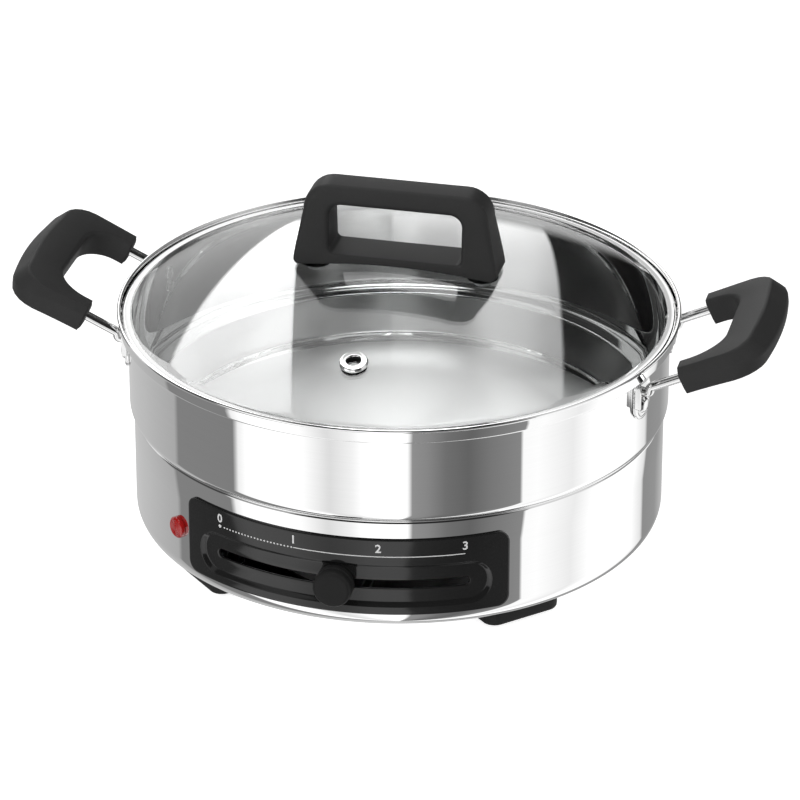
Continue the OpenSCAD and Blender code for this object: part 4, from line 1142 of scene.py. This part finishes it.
def bent(s, z, r):
    """Points of the panel's plane, bent round the base's front at a radius."""
    a = np.array(s) / R_PANEL
    return np.column_stack((r * np.sin(a), -r * np.cos(a), z))


class POT_OT_panel(bpy.types.Operator):
    """Make the curved panel with its track and slot"""

    bl_idname = "pot.panel"
    bl_label = "Panel"

    def execute(self, context):
        middle = (PANEL_LOW + PANEL_HIGH) / 2
        height = PANEL_HIGH - PANEL_LOW

        def outline(inset, r):
            return panel_loop(PANEL_HALF - inset, middle, height - 2 * inset, PANEL_CORNER - inset, r)

        def track(grow, r):
            return panel_loop(TRACK_HALF + grow, Z_SLOT, TRACK_H + 2 * grow, TRACK_H / 2 + grow, r)

        def slot(grow, r):
            return panel_loop(SLOT_HALF + grow, Z_SLOT, SLOT_H + 2 * grow, SLOT_H / 2 + grow, r)

        loops = [
            outline(0, PANEL_BACK), outline(0, R_PANEL - 0.5), outline(0.15, R_PANEL - 0.15),
            outline(0.5, R_PANEL), outline(1.2, R_PANEL),
            track(1.5, R_PANEL), track(1.1, R_PANEL), track(0.8, R_PANEL - 0.12), track(0.5, R_PANEL - 0.4),
            track(-0.6, R_TRACK + 0.4), track(-1.0, R_TRACK + 0.1), track(-1.6, R_TRACK),
            slot(2.5, R_TRACK), slot(0.4, R_TRACK), slot(0.1, R_TRACK - 0.1), slot(0, R_TRACK - 0.4),
            slot(0, R_TRAY), slot(3.0, R_TRAY), track(TRAY_WALL, R_TRAY), track(TRAY_WALL, PANEL_BACK),
        ]
        material = moulded("panel_black")
        piece("Panel", [loft(loops, closed=True)], [material], "cooker", ["control_panel"])
        return {"FINISHED"}


def number_part(text, angle):
    """The mesh of a printed number, bent on the panel."""
    curve = bpy.data.curves.new("Number", "FONT")
    curve.body = text
    curve.size = NUMBER_SIZE
    curve.align_x = "CENTER"
    curve.align_y = "CENTER"
    curve.extrude = INK / 2
    curve.offset = NUMBER_BOLD
    curve.resolution_u = 8
    holder = bpy.data.objects.new("Number", curve)
    bpy.context.scene.collection.objects.link(holder)
    bpy.context.view_layer.update()
    mesh = bpy.data.meshes.new_from_object(holder.evaluated_get(bpy.context.evaluated_depsgraph_get()))
    points = np.array([v.co for v in mesh.vertices])
    faces = [list(face.vertices) for face in mesh.polygons]
    bpy.data.objects.remove(holder)
    bpy.data.curves.remove(curve)
    bpy.data.meshes.remove(mesh)
    placed = bent(points[:, 0] + math.radians(angle) * R_PANEL, points[:, 1] + NUMBER_Z, 1.0)
    out = R_PANEL + INK / 2 + points[:, 2]
    placed[:, 0] *= out
    placed[:, 1] *= out
    return placed, faces


def scale_line(start, end, width):
    """A thin printed line along the panel, from one angle to another."""
    sections = []
    for angle in np.linspace(start, end, 40):
        s = math.radians(angle) * R_PANEL
        low = SCALE_Z - width / 2
        high = SCALE_Z + width / 2
        inner = bent([s, s], [low, high], R_PANEL)
        outer = bent([s, s], [high, low], R_PANEL + INK)
        sections.append(np.concatenate((inner, outer)))
    return loft(sections)


def ink_dot(radius, steps):
    """A printed dot that stands on the origin."""
    return lathe([(0, 0), (radius, 0), (radius, INK), (0, INK)], steps)


class POT_OT_scale(bpy.types.Operator):
    """Print the scale with its dots, line and numbers on the panel"""

    bl_idname = "pot.scale"
    bl_label = "Scale"

    def execute(self, context):
        ink = print_white()
        parts = [scale_line(SCALE_ANGLES[1], SCALE_ANGLES[3], SCALE_LINE)]
        parts += [number_part(str(k), angle) for k, angle in enumerate(SCALE_ANGLES)]
        piece("Scale.print", parts, [ink], "cooker")
        dot = ink_dot(DOT_R, 16)
        turns = np.arange(DOTS_START, DOTS_END, DOT_PITCH)
        spots = [radial_spot(R_PANEL, FRONT + a, SCALE_Z) for a in turns]
        add_piece("Scale.dots", copies("Scale.dots", dot, spots, ink), "cooker")
        start = ink_dot(START_R, 20)
        spots = [radial_spot(R_PANEL, FRONT + SCALE_ANGLES[0], SCALE_Z)]
        add_piece("Scale.start", copies("Scale.start", start, spots, ink), "cooker")
        return {"FINISHED"}


def radial_spot(r, angle, z, way=1):
    """A place and direction at a radius, an angle in degrees and a height, facing out or in."""
    a = math.radians(angle)
    return (r * math.cos(a), r * math.sin(a), z), (way * math.cos(a), way * math.sin(a), 0.0)


class POT_OT_knob(bpy.types.Operator):
    """Make the slider's knob"""

    bl_idname = "pot.knob"
    bl_label = "Knob"

    def execute(self, context):
        profile = rounded([
            (0, KNOB_BACK, 0), (KNOB_R - 0.2, KNOB_BACK, 0.4), (KNOB_R - 0.2, KNOB_BACK + 3.2, 0.3),
            (KNOB_R - 0.7, KNOB_BACK + 3.6, 0.3), (KNOB_R - 0.7, KNOB_BACK + 4.4, 0.3),
            (KNOB_R, KNOB_BACK + 4.8, 0.3), (KNOB_R, KNOB_FACE - 0.4, 2.4), (KNOB_R - 4.0, KNOB_FACE, 1.5),
            (0, KNOB_FACE, 0),
        ], 6, closed=False)
        points, faces = lathe(profile, 96)
        material = moulded("knob_black")
        piece("Knob", [(radial(points, FRONT, Z_SLOT), faces)], [material], "control",
              ["slider_knob"])
        return {"FINISHED"}


class POT_OT_lens(bpy.types.Operator):
    """Make the red lens of the lamp, with its rings"""

    bl_idname = "pot.lens"
    bl_label = "Lens"

    def execute(self, context):
        face = R_BASE + LENS_OUT
        profile = [(0, R_BASE - 4), (4.6, R_BASE - 4), (4.6, R_BASE), (LENS_R, R_BASE + 0.05)]
        profile += list(rounded([
            (LENS_R, R_BASE + 0.3, 0), (LENS_R, face - 0.9, 0.8), (4.4, face - 0.1, 0.5),
            (3.9, face - 0.5, 0.2), (3.4, face - 0.1, 0.2), (2.9, face - 0.5, 0.2), (2.4, face - 0.05, 0.2),
            (1.9, face - 0.45, 0.2), (1.3, face, 0.3), (0, face, 0),
        ], 5, closed=False))
        points, faces = lathe(profile, 64)
        piece("Lens", [(radial(points, LENS_TURN, LENS_Z), faces)], [lens_red()], "cooker",
              ["indicator_lens"])
        return {"FINISHED"}


def stacked(length, width, corner, stack):
    """A rounded block from a stack of insets and heights."""
    return loft([level(box_outline(length / 2 - d, width / 2 - d, corner - d), z) for d, z in stack])


class POT_OT_feet(bpy.types.Operator):
    """Make the four feet and their pads"""

    bl_idname = "pot.feet"
    bl_label = "Feet"

    def execute(self, context):
        foot = moulded("foot_black")
        rubber = moulded("pad_rubber")
        foot_stack = (
            (1.6, PAD_OUT), (0.6, PAD_OUT + 0.4), (0.1, PAD_OUT + 1.2), (0, PAD_OUT + 2.0), (0, Z_BASE - 4.6),
            (0.7, Z_BASE - 4.2), (0.7, Z_BASE - 3.4), (0, Z_BASE - 3.0), (0, Z_BASE),
        )
        pad_stack = ((0.8, 0.0), (0.25, 0.2), (0, 0.8), (0, PAD_TOP))
        foot_points, foot_faces = stacked(FOOT_L, FOOT_W, FOOT_CORNER, foot_stack)
        pad_points, pad_faces = stacked(PAD_L, PAD_W, PAD_CORNER, pad_stack)
        shift = (FOOT_RING, 0, 0)
        for name, angle in zip(FOOT_NAMES, FOOT_ANGLES):
            part = (turned(foot_points, angle, shift), foot_faces)
            piece("Foot." + name, [part], [foot], "cooker", ["foot_" + name])
            part = (turned(pad_points, angle, shift), pad_faces)
            piece("Pad." + name, [part], [rubber], "cooker", ["pad_" + name])
        return {"FINISHED"}


def handle_points(a, v, n):
    """Points of the right handle's sloping plane: outwards, sideways and square to it."""
    a, v, n = (np.array(c, float) for c in (a, v, n))
    return np.column_stack((HANDLE_X + a * math.cos(SLOPE) - n * math.sin(SLOPE), v,
                            Z_WIRE + a * math.sin(SLOPE) + n * math.cos(SLOPE)))


def resample(path, count):
    """Points evenly spaced along a flat path."""
    path = np.array(path)
    lengths = np.concatenate(([0], np.cumsum(np.linalg.norm(np.diff(path, axis=0), axis=1))))
    spots = np.linspace(0, lengths[-1], count)
    return np.column_stack([np.interp(spots, lengths, path[:, k]) for k in range(2)])


def grip_stations():
    """Inner point, outer point and share of the bar, from one arm's end round to the other's."""
    bow_x = GRIP_END - GRIP_BOW
    corner_v = GRIP_ARM_OUT - GRIP_CORNER
    corner_a = bow_x + math.sqrt((GRIP_BOW - GRIP_CORNER) ** 2 - corner_v ** 2)
    meet = math.degrees(math.atan2(corner_v, corner_a - bow_x))
    window_a = GRIP_IN - GRIP_WINDOW
    window_v = GRIP_ARM_IN - GRIP_WINDOW

    def bow(v):
        return bow_x + math.sqrt(GRIP_BOW ** 2 - v * v)

    def arm_outer(a):
        return GRIP_ARM_OUT - 1 + (a - GRIP_START) / (corner_a - GRIP_START)

    stations = [((a, GRIP_ARM_IN), (a, arm_outer(a)), 0.0) for a in np.linspace(GRIP_START, window_a, 7)]
    inner = arc(window_a, window_v, GRIP_WINDOW, 90, 0, 14)
    outer = [(window_a, arm_outer(window_a))]
    outer += list(arc(corner_a, corner_v, GRIP_CORNER, 90, meet, 20))
    outer += [(bow(v), v) for v in np.linspace(GRIP_BOW * math.sin(math.radians(meet)), window_v, 6)[1:]]
    outer = resample(outer, len(inner))
    for k, (near, far) in enumerate(zip(inner, outer)):
        t = k / (len(inner) - 1)
        if k:
            stations.append((tuple(near), tuple(far), t * t * (3 - 2 * t)))
    stations += [((GRIP_IN, v), (bow(v), v), 1.0) for v in np.linspace(window_v, 0, 9)[1:]]
    mirrored = [((a, -v), (b, -w), share) for (a, v), (b, w), share in stations[-2::-1]]
    return stations + mirrored


def grip_section(width, share):
    """Section of the grip over its width, from an arm at share 0 to the bar at share 1."""
    corners = []
    for k, (low, high) in enumerate(zip(ARM_CORNERS, BAR_CORNERS)):
        w, n, r = ((1 - share) * p + share * q for p, q in zip(low, high))
        corners.append((w + (width if k in OUTER_CORNERS else 0), n, r))
    return rounded(corners, 5)


def grip_mesh():
    """The right grip as points and faces."""
    sections = []
    stations = grip_stations()
    full = []
    for near, far, share in stations:
        near = np.array(near)
        way = np.array(far) - near
        width = np.linalg.norm(way)
        full.append((near, way / width, width, share))

    def laid(near, way, section):
        flat = near + np.outer(section[:, 0], way)
        return handle_points(flat[:, 0], flat[:, 1], section[:, 1])

    def end_sections(first, sign):
        near, way, width, share = first
        made = []
        for along, inset in GRIP_ENDS:
            section = grip_section(width, share)
            middle = (section.max(axis=0) + section.min(axis=0)) / 2
            half = (section.max(axis=0) - section.min(axis=0)) / 2
            shrunk = middle + (section - middle) * (half - inset) / half
            made.append(laid(near + (along, 0), way, shrunk))
        return made[::sign]

    sections += end_sections(full[0], 1)
    for near, way, width, share in full[1:-1]:
        sections.append(laid(near, way, grip_section(width, share)))
    sections += end_sections(full[-1], -1)
    return loft(sections)


class POT_OT_grips(bpy.types.Operator):
    """Make the two moulded grips"""

    bl_idname = "pot.grips"
    bl_label = "Grips"

    def execute(self, context):
        points, faces = grip_mesh()
        plastic = moulded("grip_black")
        for side, angle in (("right", 0), ("left", 180)):
            piece("Grip." + side, [(turned(points, angle), faces)], [plastic], "cooker",
                  ["handle_grip_" + side], sharp=GRIP_SHARP)
        return {"FINISHED"}


class POT_OT_wires(bpy.types.Operator):
    """Make the bent wires of the side handles"""

    bl_idname = "pot.wires"
    bl_label = "Wires"

    def execute(self, context):
        a = math.radians(PLATE_ANGLE)
        wall = np.array((R_PLATE_IN * math.cos(a), R_PLATE_IN * math.sin(a), Z_TENON))
        foot = np.array((HANDLE_X, WIRE_HALF, Z_TENON))
        knee = np.array((HANDLE_X, WIRE_HALF, Z_WIRE))
        tip = handle_points([WIRE_END], [WIRE_HALF], [0])[0]
        flip = np.array((1, -1, 1))
        corners = [wall, foot, knee, tip, tip * flip, knee * flip, foot * flip, wall * flip]
        points, faces = sweep(smooth_path(corners, WIRE_BENDS), WIRE_R, 24)
        for side, angle in (("right", 0), ("left", 180)):
            piece("Wire." + side, [(turned(points, angle), faces)], [bright_steel()], "cooker",
                  ["handle_wire_" + side])
        return {"FINISHED"}


class POT_OT_plates(bpy.types.Operator):
    """Make the fixing plates and the rivets of the side handles"""

    bl_idname = "pot.plates"
    bl_label = "Plates"

    def execute(self, context):
        steel = bright_steel()
        top = Z_TENON + PLATE_HALF - 1 - Z_RIVET
        spots = {"right_front": -PLATE_ANGLE, "right_rear": PLATE_ANGLE, "left_front": 180 + PLATE_ANGLE,
                 "left_rear": 180 - PLATE_ANGLE}

        def outline(inset):
            half = PLATE_HALF - inset
            return rounded([(half, top - inset, 3.5), (-half, top - inset, 3.5), (-half, -half, half * 0.98),
                            (half, -half, half * 0.98)], 8)

        stack = ((0, R_PLATE_IN), (0, R_PLATE - 0.8), (0.25, R_PLATE - 0.3), (0.9, R_PLATE - 0.05),
                 (1.6, R_PLATE - 0.05), (2.0, R_PLATE - 0.35), (2.6, R_PLATE - 0.4))
        made = loft([level(outline(inset), r) for inset, r in stack])
        edge = box_outline(PLATE_SHEET / 2, (top - PLATE_SHEET) / 2, 0.6, 3) + (0, (top - PLATE_SHEET) / 2)
        fold = loft([level(edge, R_PLATE_IN + 0.2), level(edge, R_PLATE_IN + PLATE_FOLD)])
        for name, angle in spots.items():
            way = -1 if name in ("right_front", "left_rear") else 1
            shift = (way * (PLATE_HALF - PLATE_SHEET / 2), 0, 0)
            plate = (radial(made[0], angle, Z_RIVET), made[1])
            folded = (radial(fold[0] + shift, angle, Z_RIVET), fold[1])
            piece("Plate." + name, [plate, folded], [steel], "cooker", ["plate_" + name])
        head = lathe(rounded(RIVET_HEAD, 6, closed=False), 40)
        inner = lathe(rounded(INNER_HEAD, 6, closed=False), 40)
        heights = (Z_RIVET, Z_TENON)
        outer_spots = [radial_spot(R_PLATE - 0.3, angle, Z_RIVET) for angle in spots.values()]
        inner_spots = [radial_spot(R_HEAD_IN, angle, z, -1) for angle in spots.values() for z in heights]
        heads = copies("Rivets", head, outer_spots, steel)
        add_piece("Rivets", heads, "cooker", ["handle_rivets"])
        heads = copies("Rivets.inner", inner, inner_spots, steel)
        add_piece("Rivets.inner", heads, "cooker")
        return {"FINISHED"}


def dome(r, grow=0.0):
    """Height of the dome's outer face at a radius."""
    return DOME_Z + math.sqrt((DOME_R + grow) ** 2 - r * r)


class POT_OT_glass(bpy.types.Operator):
    """Make the glass dome and its rim ring"""

    bl_idname = "pot.glass"
    bl_label = "Glass"

    def execute(self, context):
        steps = context.scene.pot_finish.turn_steps
        outer = [(r, dome(r)) for r in np.linspace(0, R_RING_IN - 1.2, 48)]
        edge = rounded([
            (R_RING_IN, Z_GLASS_TOP + 0.25, 0), (R_GLASS, Z_GLASS_TOP - 0.05, 1.2), (R_GLASS, Z_GLASS, 1.2),
            (R_RING_IN - 0.4, Z_GLASS, 0),
        ], 6, closed=False)
        inner = [(r, dome(r, -GLASS_T)) for r in np.linspace(R_RING_IN - 1.6, 0, 48)]
        glass = lathe([*outer, *edge, *inner], steps)
        piece("Glass", [glass], [clear_glass()], "lid", ["lid_glass"])
        high = Z_RING_TOP - RING_SHEET
        low = Z_SEAT + RING_SHEET
        within = R_RING - RING_SHEET
        profile = rounded([
            (R_RING_IN, Z_RING_TOP - 0.2, 0.1), (R_RING_IN, high, 0.1), (within, high, 0.3),
            (within, low, 0.3), (R_RING_IN, low, 0.2), (R_RING_IN, Z_SEAT, 0.2), (R_RING, Z_SEAT, 0.9),
            (R_RING, Z_RING_TOP - 0.4, 1.0), (R_RING - 1.4, Z_RING_TOP, 1.0),
        ], 6)
        ring = lathe(profile, steps, closed=True)
        piece("Ring", [ring], [polished_steel()], "lid", ["lid_ring"])
        return {"FINISHED"}


def lid_handle_mesh():
    """The loop handle as points and faces, its foot following the dome."""
    inner_r = 6.5
    low_r = 3.0
    top_r = 14.5
    low_x = LID_WINDOW - low_r
    low_z = Z_APEX + LID_BAR + low_r
    high_x = LID_WINDOW - inner_r
    high_z = Z_HANDLE_TOP - LID_TOP_BAR - inner_r

    def under(x):
        return dome(x, LID_GAP)

    bar_in = [(x, low_z - low_r) for x in np.linspace(0, low_x, 9)]
    bar_out = [(x, under(x)) for x in np.linspace(0, LID_FOOT_IN, 9)]
    post_low = (LID_FOOT - 1.6, low_z)
    post_high = (LID_TOP + 0.5, Z_HANDLE_TOP - top_r)
    foot = rounded([
        (LID_FOOT_IN, under(LID_FOOT_IN), 0), (LID_FOOT, under(LID_FOOT), 2.5), (*post_low, 0),
    ], 6, closed=False)
    low_in = arc(low_x, low_z, low_r, -90, 0, 10)
    low_out = resample(foot, len(low_in))
    high_in = arc(high_x, high_z, inner_r, 0, 90, 10)
    top_corner = rounded([
        (*post_high, 0), (LID_TOP, Z_HANDLE_TOP, top_r - 0.6), (high_x, Z_HANDLE_TOP, 0),
    ], 12, closed=False)
    high_out = resample(top_corner, len(high_in))
    post_in = np.linspace(low_in[-1], high_in[0], 8)
    post_out = np.linspace(post_low, post_high, 8)
    top_in = [(x, high_z + inner_r) for x in np.linspace(high_x, 0, 9)]
    top_out = [(x, Z_HANDLE_TOP) for x in np.linspace(high_x, 0, 9)]
    # Radii of the outer edge and of the window's edge where the runs meet
    bar_edge = (0.2, 1.6)
    low_edge = (2.6, 2.4)
    high_edge = (4.0, 3.0)
    top_edge = (4.2, 3.0)
    runs = [
        (bar_in, bar_out, bar_edge, bar_edge), (low_in, low_out, bar_edge, low_edge),
        (post_in, post_out, low_edge, high_edge), (high_in, high_out, high_edge, top_edge),
        (top_in, top_out, top_edge, top_edge),
    ]
    stations = []
    for number, (near, far, start, end) in enumerate(runs):
        count = len(near)
        for k in range(1 if number else 0, count):
            t = k / (count - 1)
            outer_r, window_r = ((1 - t) * p + t * q for p, q in zip(start, end))
            stations.append((np.array(near[k]), np.array(far[k]), outer_r, window_r))
    flip = np.array((-1, 1))
    stations += [(near * flip, far * flip, p, q) for near, far, p, q in stations[-2:0:-1]]
    sections = []
    for near, far, outer_r, window_r in stations:
        way = far - near
        width = np.linalg.norm(way)
        corners = [(0, -handle_depth(near[1]), window_r), (width, -handle_depth(far[1]), outer_r)]
        corners += [(w, -d, r) for w, d, r in corners[::-1]]
        section = rounded(corners, 6)
        flat = near + np.outer(section[:, 0], way / width)
        sections.append(np.column_stack((flat[:, 0], section[:, 1], flat[:, 1])))
    return loft(sections, closed=True)


def handle_depth(z):
    """Half the lid handle's depth at a height."""
    share = min(max((z - Z_APEX) / (Z_HANDLE_TOP - Z_APEX), 0.0), 1.0)
    return LID_DEPTH + share * (LID_TOP_DEPTH - LID_DEPTH)


class POT_OT_lid_handle(bpy.types.Operator):
    """Make the loop handle of the lid"""

    bl_idname = "pot.lid_handle"
    bl_label = "Lid handle"

    def execute(self, context):
        plastic = moulded("grip_black")
        piece("Lid.handle", [lid_handle_mesh()], [plastic], "lid", ["lid_handle"],
              sharp=GRIP_SHARP)
        return {"FINISHED"}


class POT_OT_vent(bpy.types.Operator):
    """Make the steam vent's eyelet"""

    bl_idname = "pot.vent"
    bl_label = "Vent"

    def execute(self, context):
        cap = rounded([
            (4.5, 0.3, 0), (7.4, 0.3, 0.1), (7.4, 1.0, 0.5), (6.8, 2.2, 0.6), (4.0, 2.4, 0.4), (3.5, 1.6, 0),
        ], 5, closed=False)
        bore = rounded([
            (3.5, 1.6, 0), (3.5, -5.3, 0.1), (6.5, -5.3, 0.2), (6.5, -4.3, 0.2), (4.5, -4.3, 0.1),
            (4.5, 0.3, 0),
        ], 5, closed=False)
        parts = []
        for number, profile in enumerate((cap, bore)):
            points, faces = lathe(profile, 64)
            points = points + (0, 0, DOME_R)
            y = -points[:, 2] * math.sin(VENT_TILT) + points[:, 1] * math.cos(VENT_TILT)
            z = points[:, 2] * math.cos(VENT_TILT) + points[:, 1] * math.sin(VENT_TILT) + DOME_Z
            parts.append((np.column_stack((points[:, 0], y, z)), faces, number))
        dark = moulded("vent_bore")
        piece("Vent", parts, [polished_steel(), dark], "lid", ["steam_vent"])
        return {"FINISHED"}


def inlet_loop(size, inset, y):
    """A rounded rectangle of the inlet at a depth, or laid against the base where there is none."""
    outline = box_outline(*(length - inset for length in size))
    if y is None:
        depth = np.sqrt((R_BASE + INLET_SEAT) ** 2 - outline[:, 0] ** 2)
    else:
        depth = np.full(len(outline), y)
    return np.column_stack((outline[:, 0], depth, outline[:, 1] + Z_INLET))


class POT_OT_inlet(bpy.types.Operator):
    """Make the power inlet at the back with its pins and screws"""

    bl_idname = "pot.inlet"
    bl_label = "Inlet"

    def execute(self, context):
        def flange(inset, y):
            return inlet_loop(FLANGE_SIZE, inset, y)

        def shroud(inset, y):
            return inlet_loop(SHROUD_SIZE, inset, y)

        def socket(inset, y):
            return inlet_loop(SOCKET_SIZE, inset, y)

        loops = [
            shroud(0, INLET_BACK), shroud(0, None), flange(0, None), flange(0, INLET_FRONT - 0.8),
            flange(0.3, INLET_FRONT - 0.2), flange(0.9, INLET_FRONT), shroud(-0.5, INLET_FRONT),
            shroud(0, INLET_FRONT + 0.5), shroud(0, INLET_OUT - 0.8), shroud(0.3, INLET_OUT - 0.2),
            shroud(0.9, INLET_OUT), socket(-0.6, INLET_OUT), socket(-0.15, INLET_OUT - 0.2),
            socket(0, INLET_OUT - 0.7), socket(0, SOCKET_FLOOR + 0.5), socket(0.5, SOCKET_FLOOR),
        ]
        plastic = moulded("inlet_black")
        piece("Inlet", [loft(loops)], [plastic], "cooker", ["power_inlet"])
        out = (0.0, 1.0, 0.0)
        length = PIN_END - INLET_BACK + PIN_TAIL
        corners = [(0, 0, 0), (PIN_R, 0, 0.1), (PIN_R, length, 0.9), (0, length, 0)]
        pin = lathe(rounded(corners, 6, closed=False), 32)
        spots = [((x, INLET_BACK - PIN_TAIL, Z_INLET + z), out) for x, z in PIN_SPOTS]
        brass = plain("contact_brass", *FINISHES["contact_brass"])
        pins = copies("Inlet.pins", pin, spots, brass)
        add_piece("Inlet.pins", pins, "cooker", ["inlet_pins"])
        head = screw_head(2.8, 1.9, 1.7, 0.9)
        spots = [((side * INLET_SCREW_X, INLET_FRONT, Z_INLET), out) for side in (-1, 1)]
        add_piece("Inlet.screws", copies("Inlet.screws", head, spots, zinc()), "cooker",
                  ["inlet_screws"])
        return {"FINISHED"}


def zinc():
    """Zinc plated fasteners."""
    return plain("zinc", (0.5, 0.51, 0.53), (0.68, 0.69, 0.7), 0.32, 1.0, 1200.0)


# Nodes of the works that keep their solid, by material slot
WORKS = {
    "fasteners": (
        "element_clamps", "clamp_screws", "thermostat_bracket", "thermostat_screws", "thermostat_spindle",
        "control_lever", "spindle_nut", "thermal_fuse", "fuse_clip", "panel_push_nuts", "lens_push_nut",
        "standoff_studs", "stud_nuts", "foot_screws", "lid_screws",
    ),
    "spreader_aluminium": ("heat_spreader",),
    "element_sheath": ("heating_element",),
    "thermostat_ceramic": ("thermostat",),
    "contact_brass": ("thermostat_terminals", "earth_screw"),
    "live_insulation": ("live_lead", "switch_lead"),
    "neutral_insulation": ("neutral_lead", "fuse_lead"),
    "earth_insulation": ("earth_lead",),
    "lamp_insulation": ("lamp_leads",),
    "lamp_glass": ("neon_lamp",),
    "gasket_rubber": ("lid_gaskets",),
}
# Low colour, high colour, roughness, metal and grain to a metre for each slot of the works
FINISHES = {
    "spreader_aluminium": ((0.55, 0.55, 0.56), (0.72, 0.72, 0.73), 0.5, 1.0, 700.0),
    "element_sheath": ((0.16, 0.15, 0.15), (0.3, 0.29, 0.28), 0.55, 1.0, 900.0),
    "thermostat_ceramic": ((0.76, 0.72, 0.62), (0.88, 0.85, 0.76), 0.6, 0.0, 800.0),
    "contact_brass": ((0.62, 0.46, 0.2), (0.74, 0.58, 0.3), 0.24, 1.0, 900.0),
    "live_insulation": ((0.16, 0.07, 0.03), (0.26, 0.12, 0.06), 0.5, 0.0, 1500.0),
    "neutral_insulation": ((0.04, 0.13, 0.36), (0.08, 0.2, 0.5), 0.5, 0.0, 1500.0),
    "earth_insulation": ((0.26, 0.38, 0.05), (0.42, 0.56, 0.1), 0.5, 0.0, 1500.0),
    "lamp_insulation": ((0.3, 0.3, 0.3), (0.42, 0.42, 0.42), 0.5, 0.0, 1500.0),
    "lamp_glass": ((0.8, 0.36, 0.14), (0.92, 0.5, 0.22), 0.2, 0.0, 700.0),
    "gasket_rubber": ((0.02, 0.02, 0.02), (0.04, 0.04, 0.04), 0.6, 0.0, 1500.0),
}


class POT_OT_works(bpy.types.Operator):
    """Give the works inside the base and under the lid their finishes"""

    bl_idname = "pot.works"
    bl_label = "Works"

    def execute(self, context):
        for slot, names in WORKS.items():
            material = plain(slot, *FINISHES[slot]) if slot in FINISHES else zinc()
            for name in names:
                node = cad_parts[name]
                node.data.materials.clear()
                node.data.materials.append(material)
                node.data.shade_smooth()
                node.data.set_sharp_from_angle(angle=math.radians(SHARP))
        return {"FINISHED"}


class POT_PT_panel(bpy.types.Panel):
    """Buttons for each group of pieces, with the settings"""

    bl_idname = "POT_PT_panel"
    bl_label = "Electric pot"
    bl_space_type = "VIEW_3D"
    bl_region_type = "UI"
    bl_category = "Pot"

    def draw(self, context):
        layout = self.layout
        for operator in OPERATORS:
            layout.operator(operator.bl_idname)
        for settings in (context.scene.pot_finish, context.scene.pot_stage):
            for name in settings.__annotations__:
                layout.prop(settings, name)


OPERATORS = (
    POT_OT_stage, POT_OT_vessel, POT_OT_base, POT_OT_panel, POT_OT_scale, POT_OT_knob, POT_OT_lens,
    POT_OT_feet, POT_OT_grips, POT_OT_wires, POT_OT_plates, POT_OT_glass, POT_OT_lid_handle, POT_OT_vent,
    POT_OT_inlet, POT_OT_works,
)
CLASSES = (PotFinish, PotStage, *OPERATORS, POT_PT_panel)


def register():
    """Register the add-on's classes and settings."""
    for cls in CLASSES:
        bpy.utils.register_class(cls)
    bpy.types.Scene.pot_finish = bpy.props.PointerProperty(type=PotFinish)
    bpy.types.Scene.pot_stage = bpy.props.PointerProperty(type=PotStage)


def unregister():
    """Take the add-on's classes and settings away."""
    del bpy.types.Scene.pot_stage
    del bpy.types.Scene.pot_finish
    for cls in reversed(CLASSES):
        bpy.utils.unregister_class(cls)


def main():
    """Register the add-on and make every piece in order."""
    register()
    for operator in OPERATORS:
        group, name = operator.bl_idname.split(".")
        getattr(getattr(bpy.ops, group), name)()


if __name__ == "__main__":
    main()
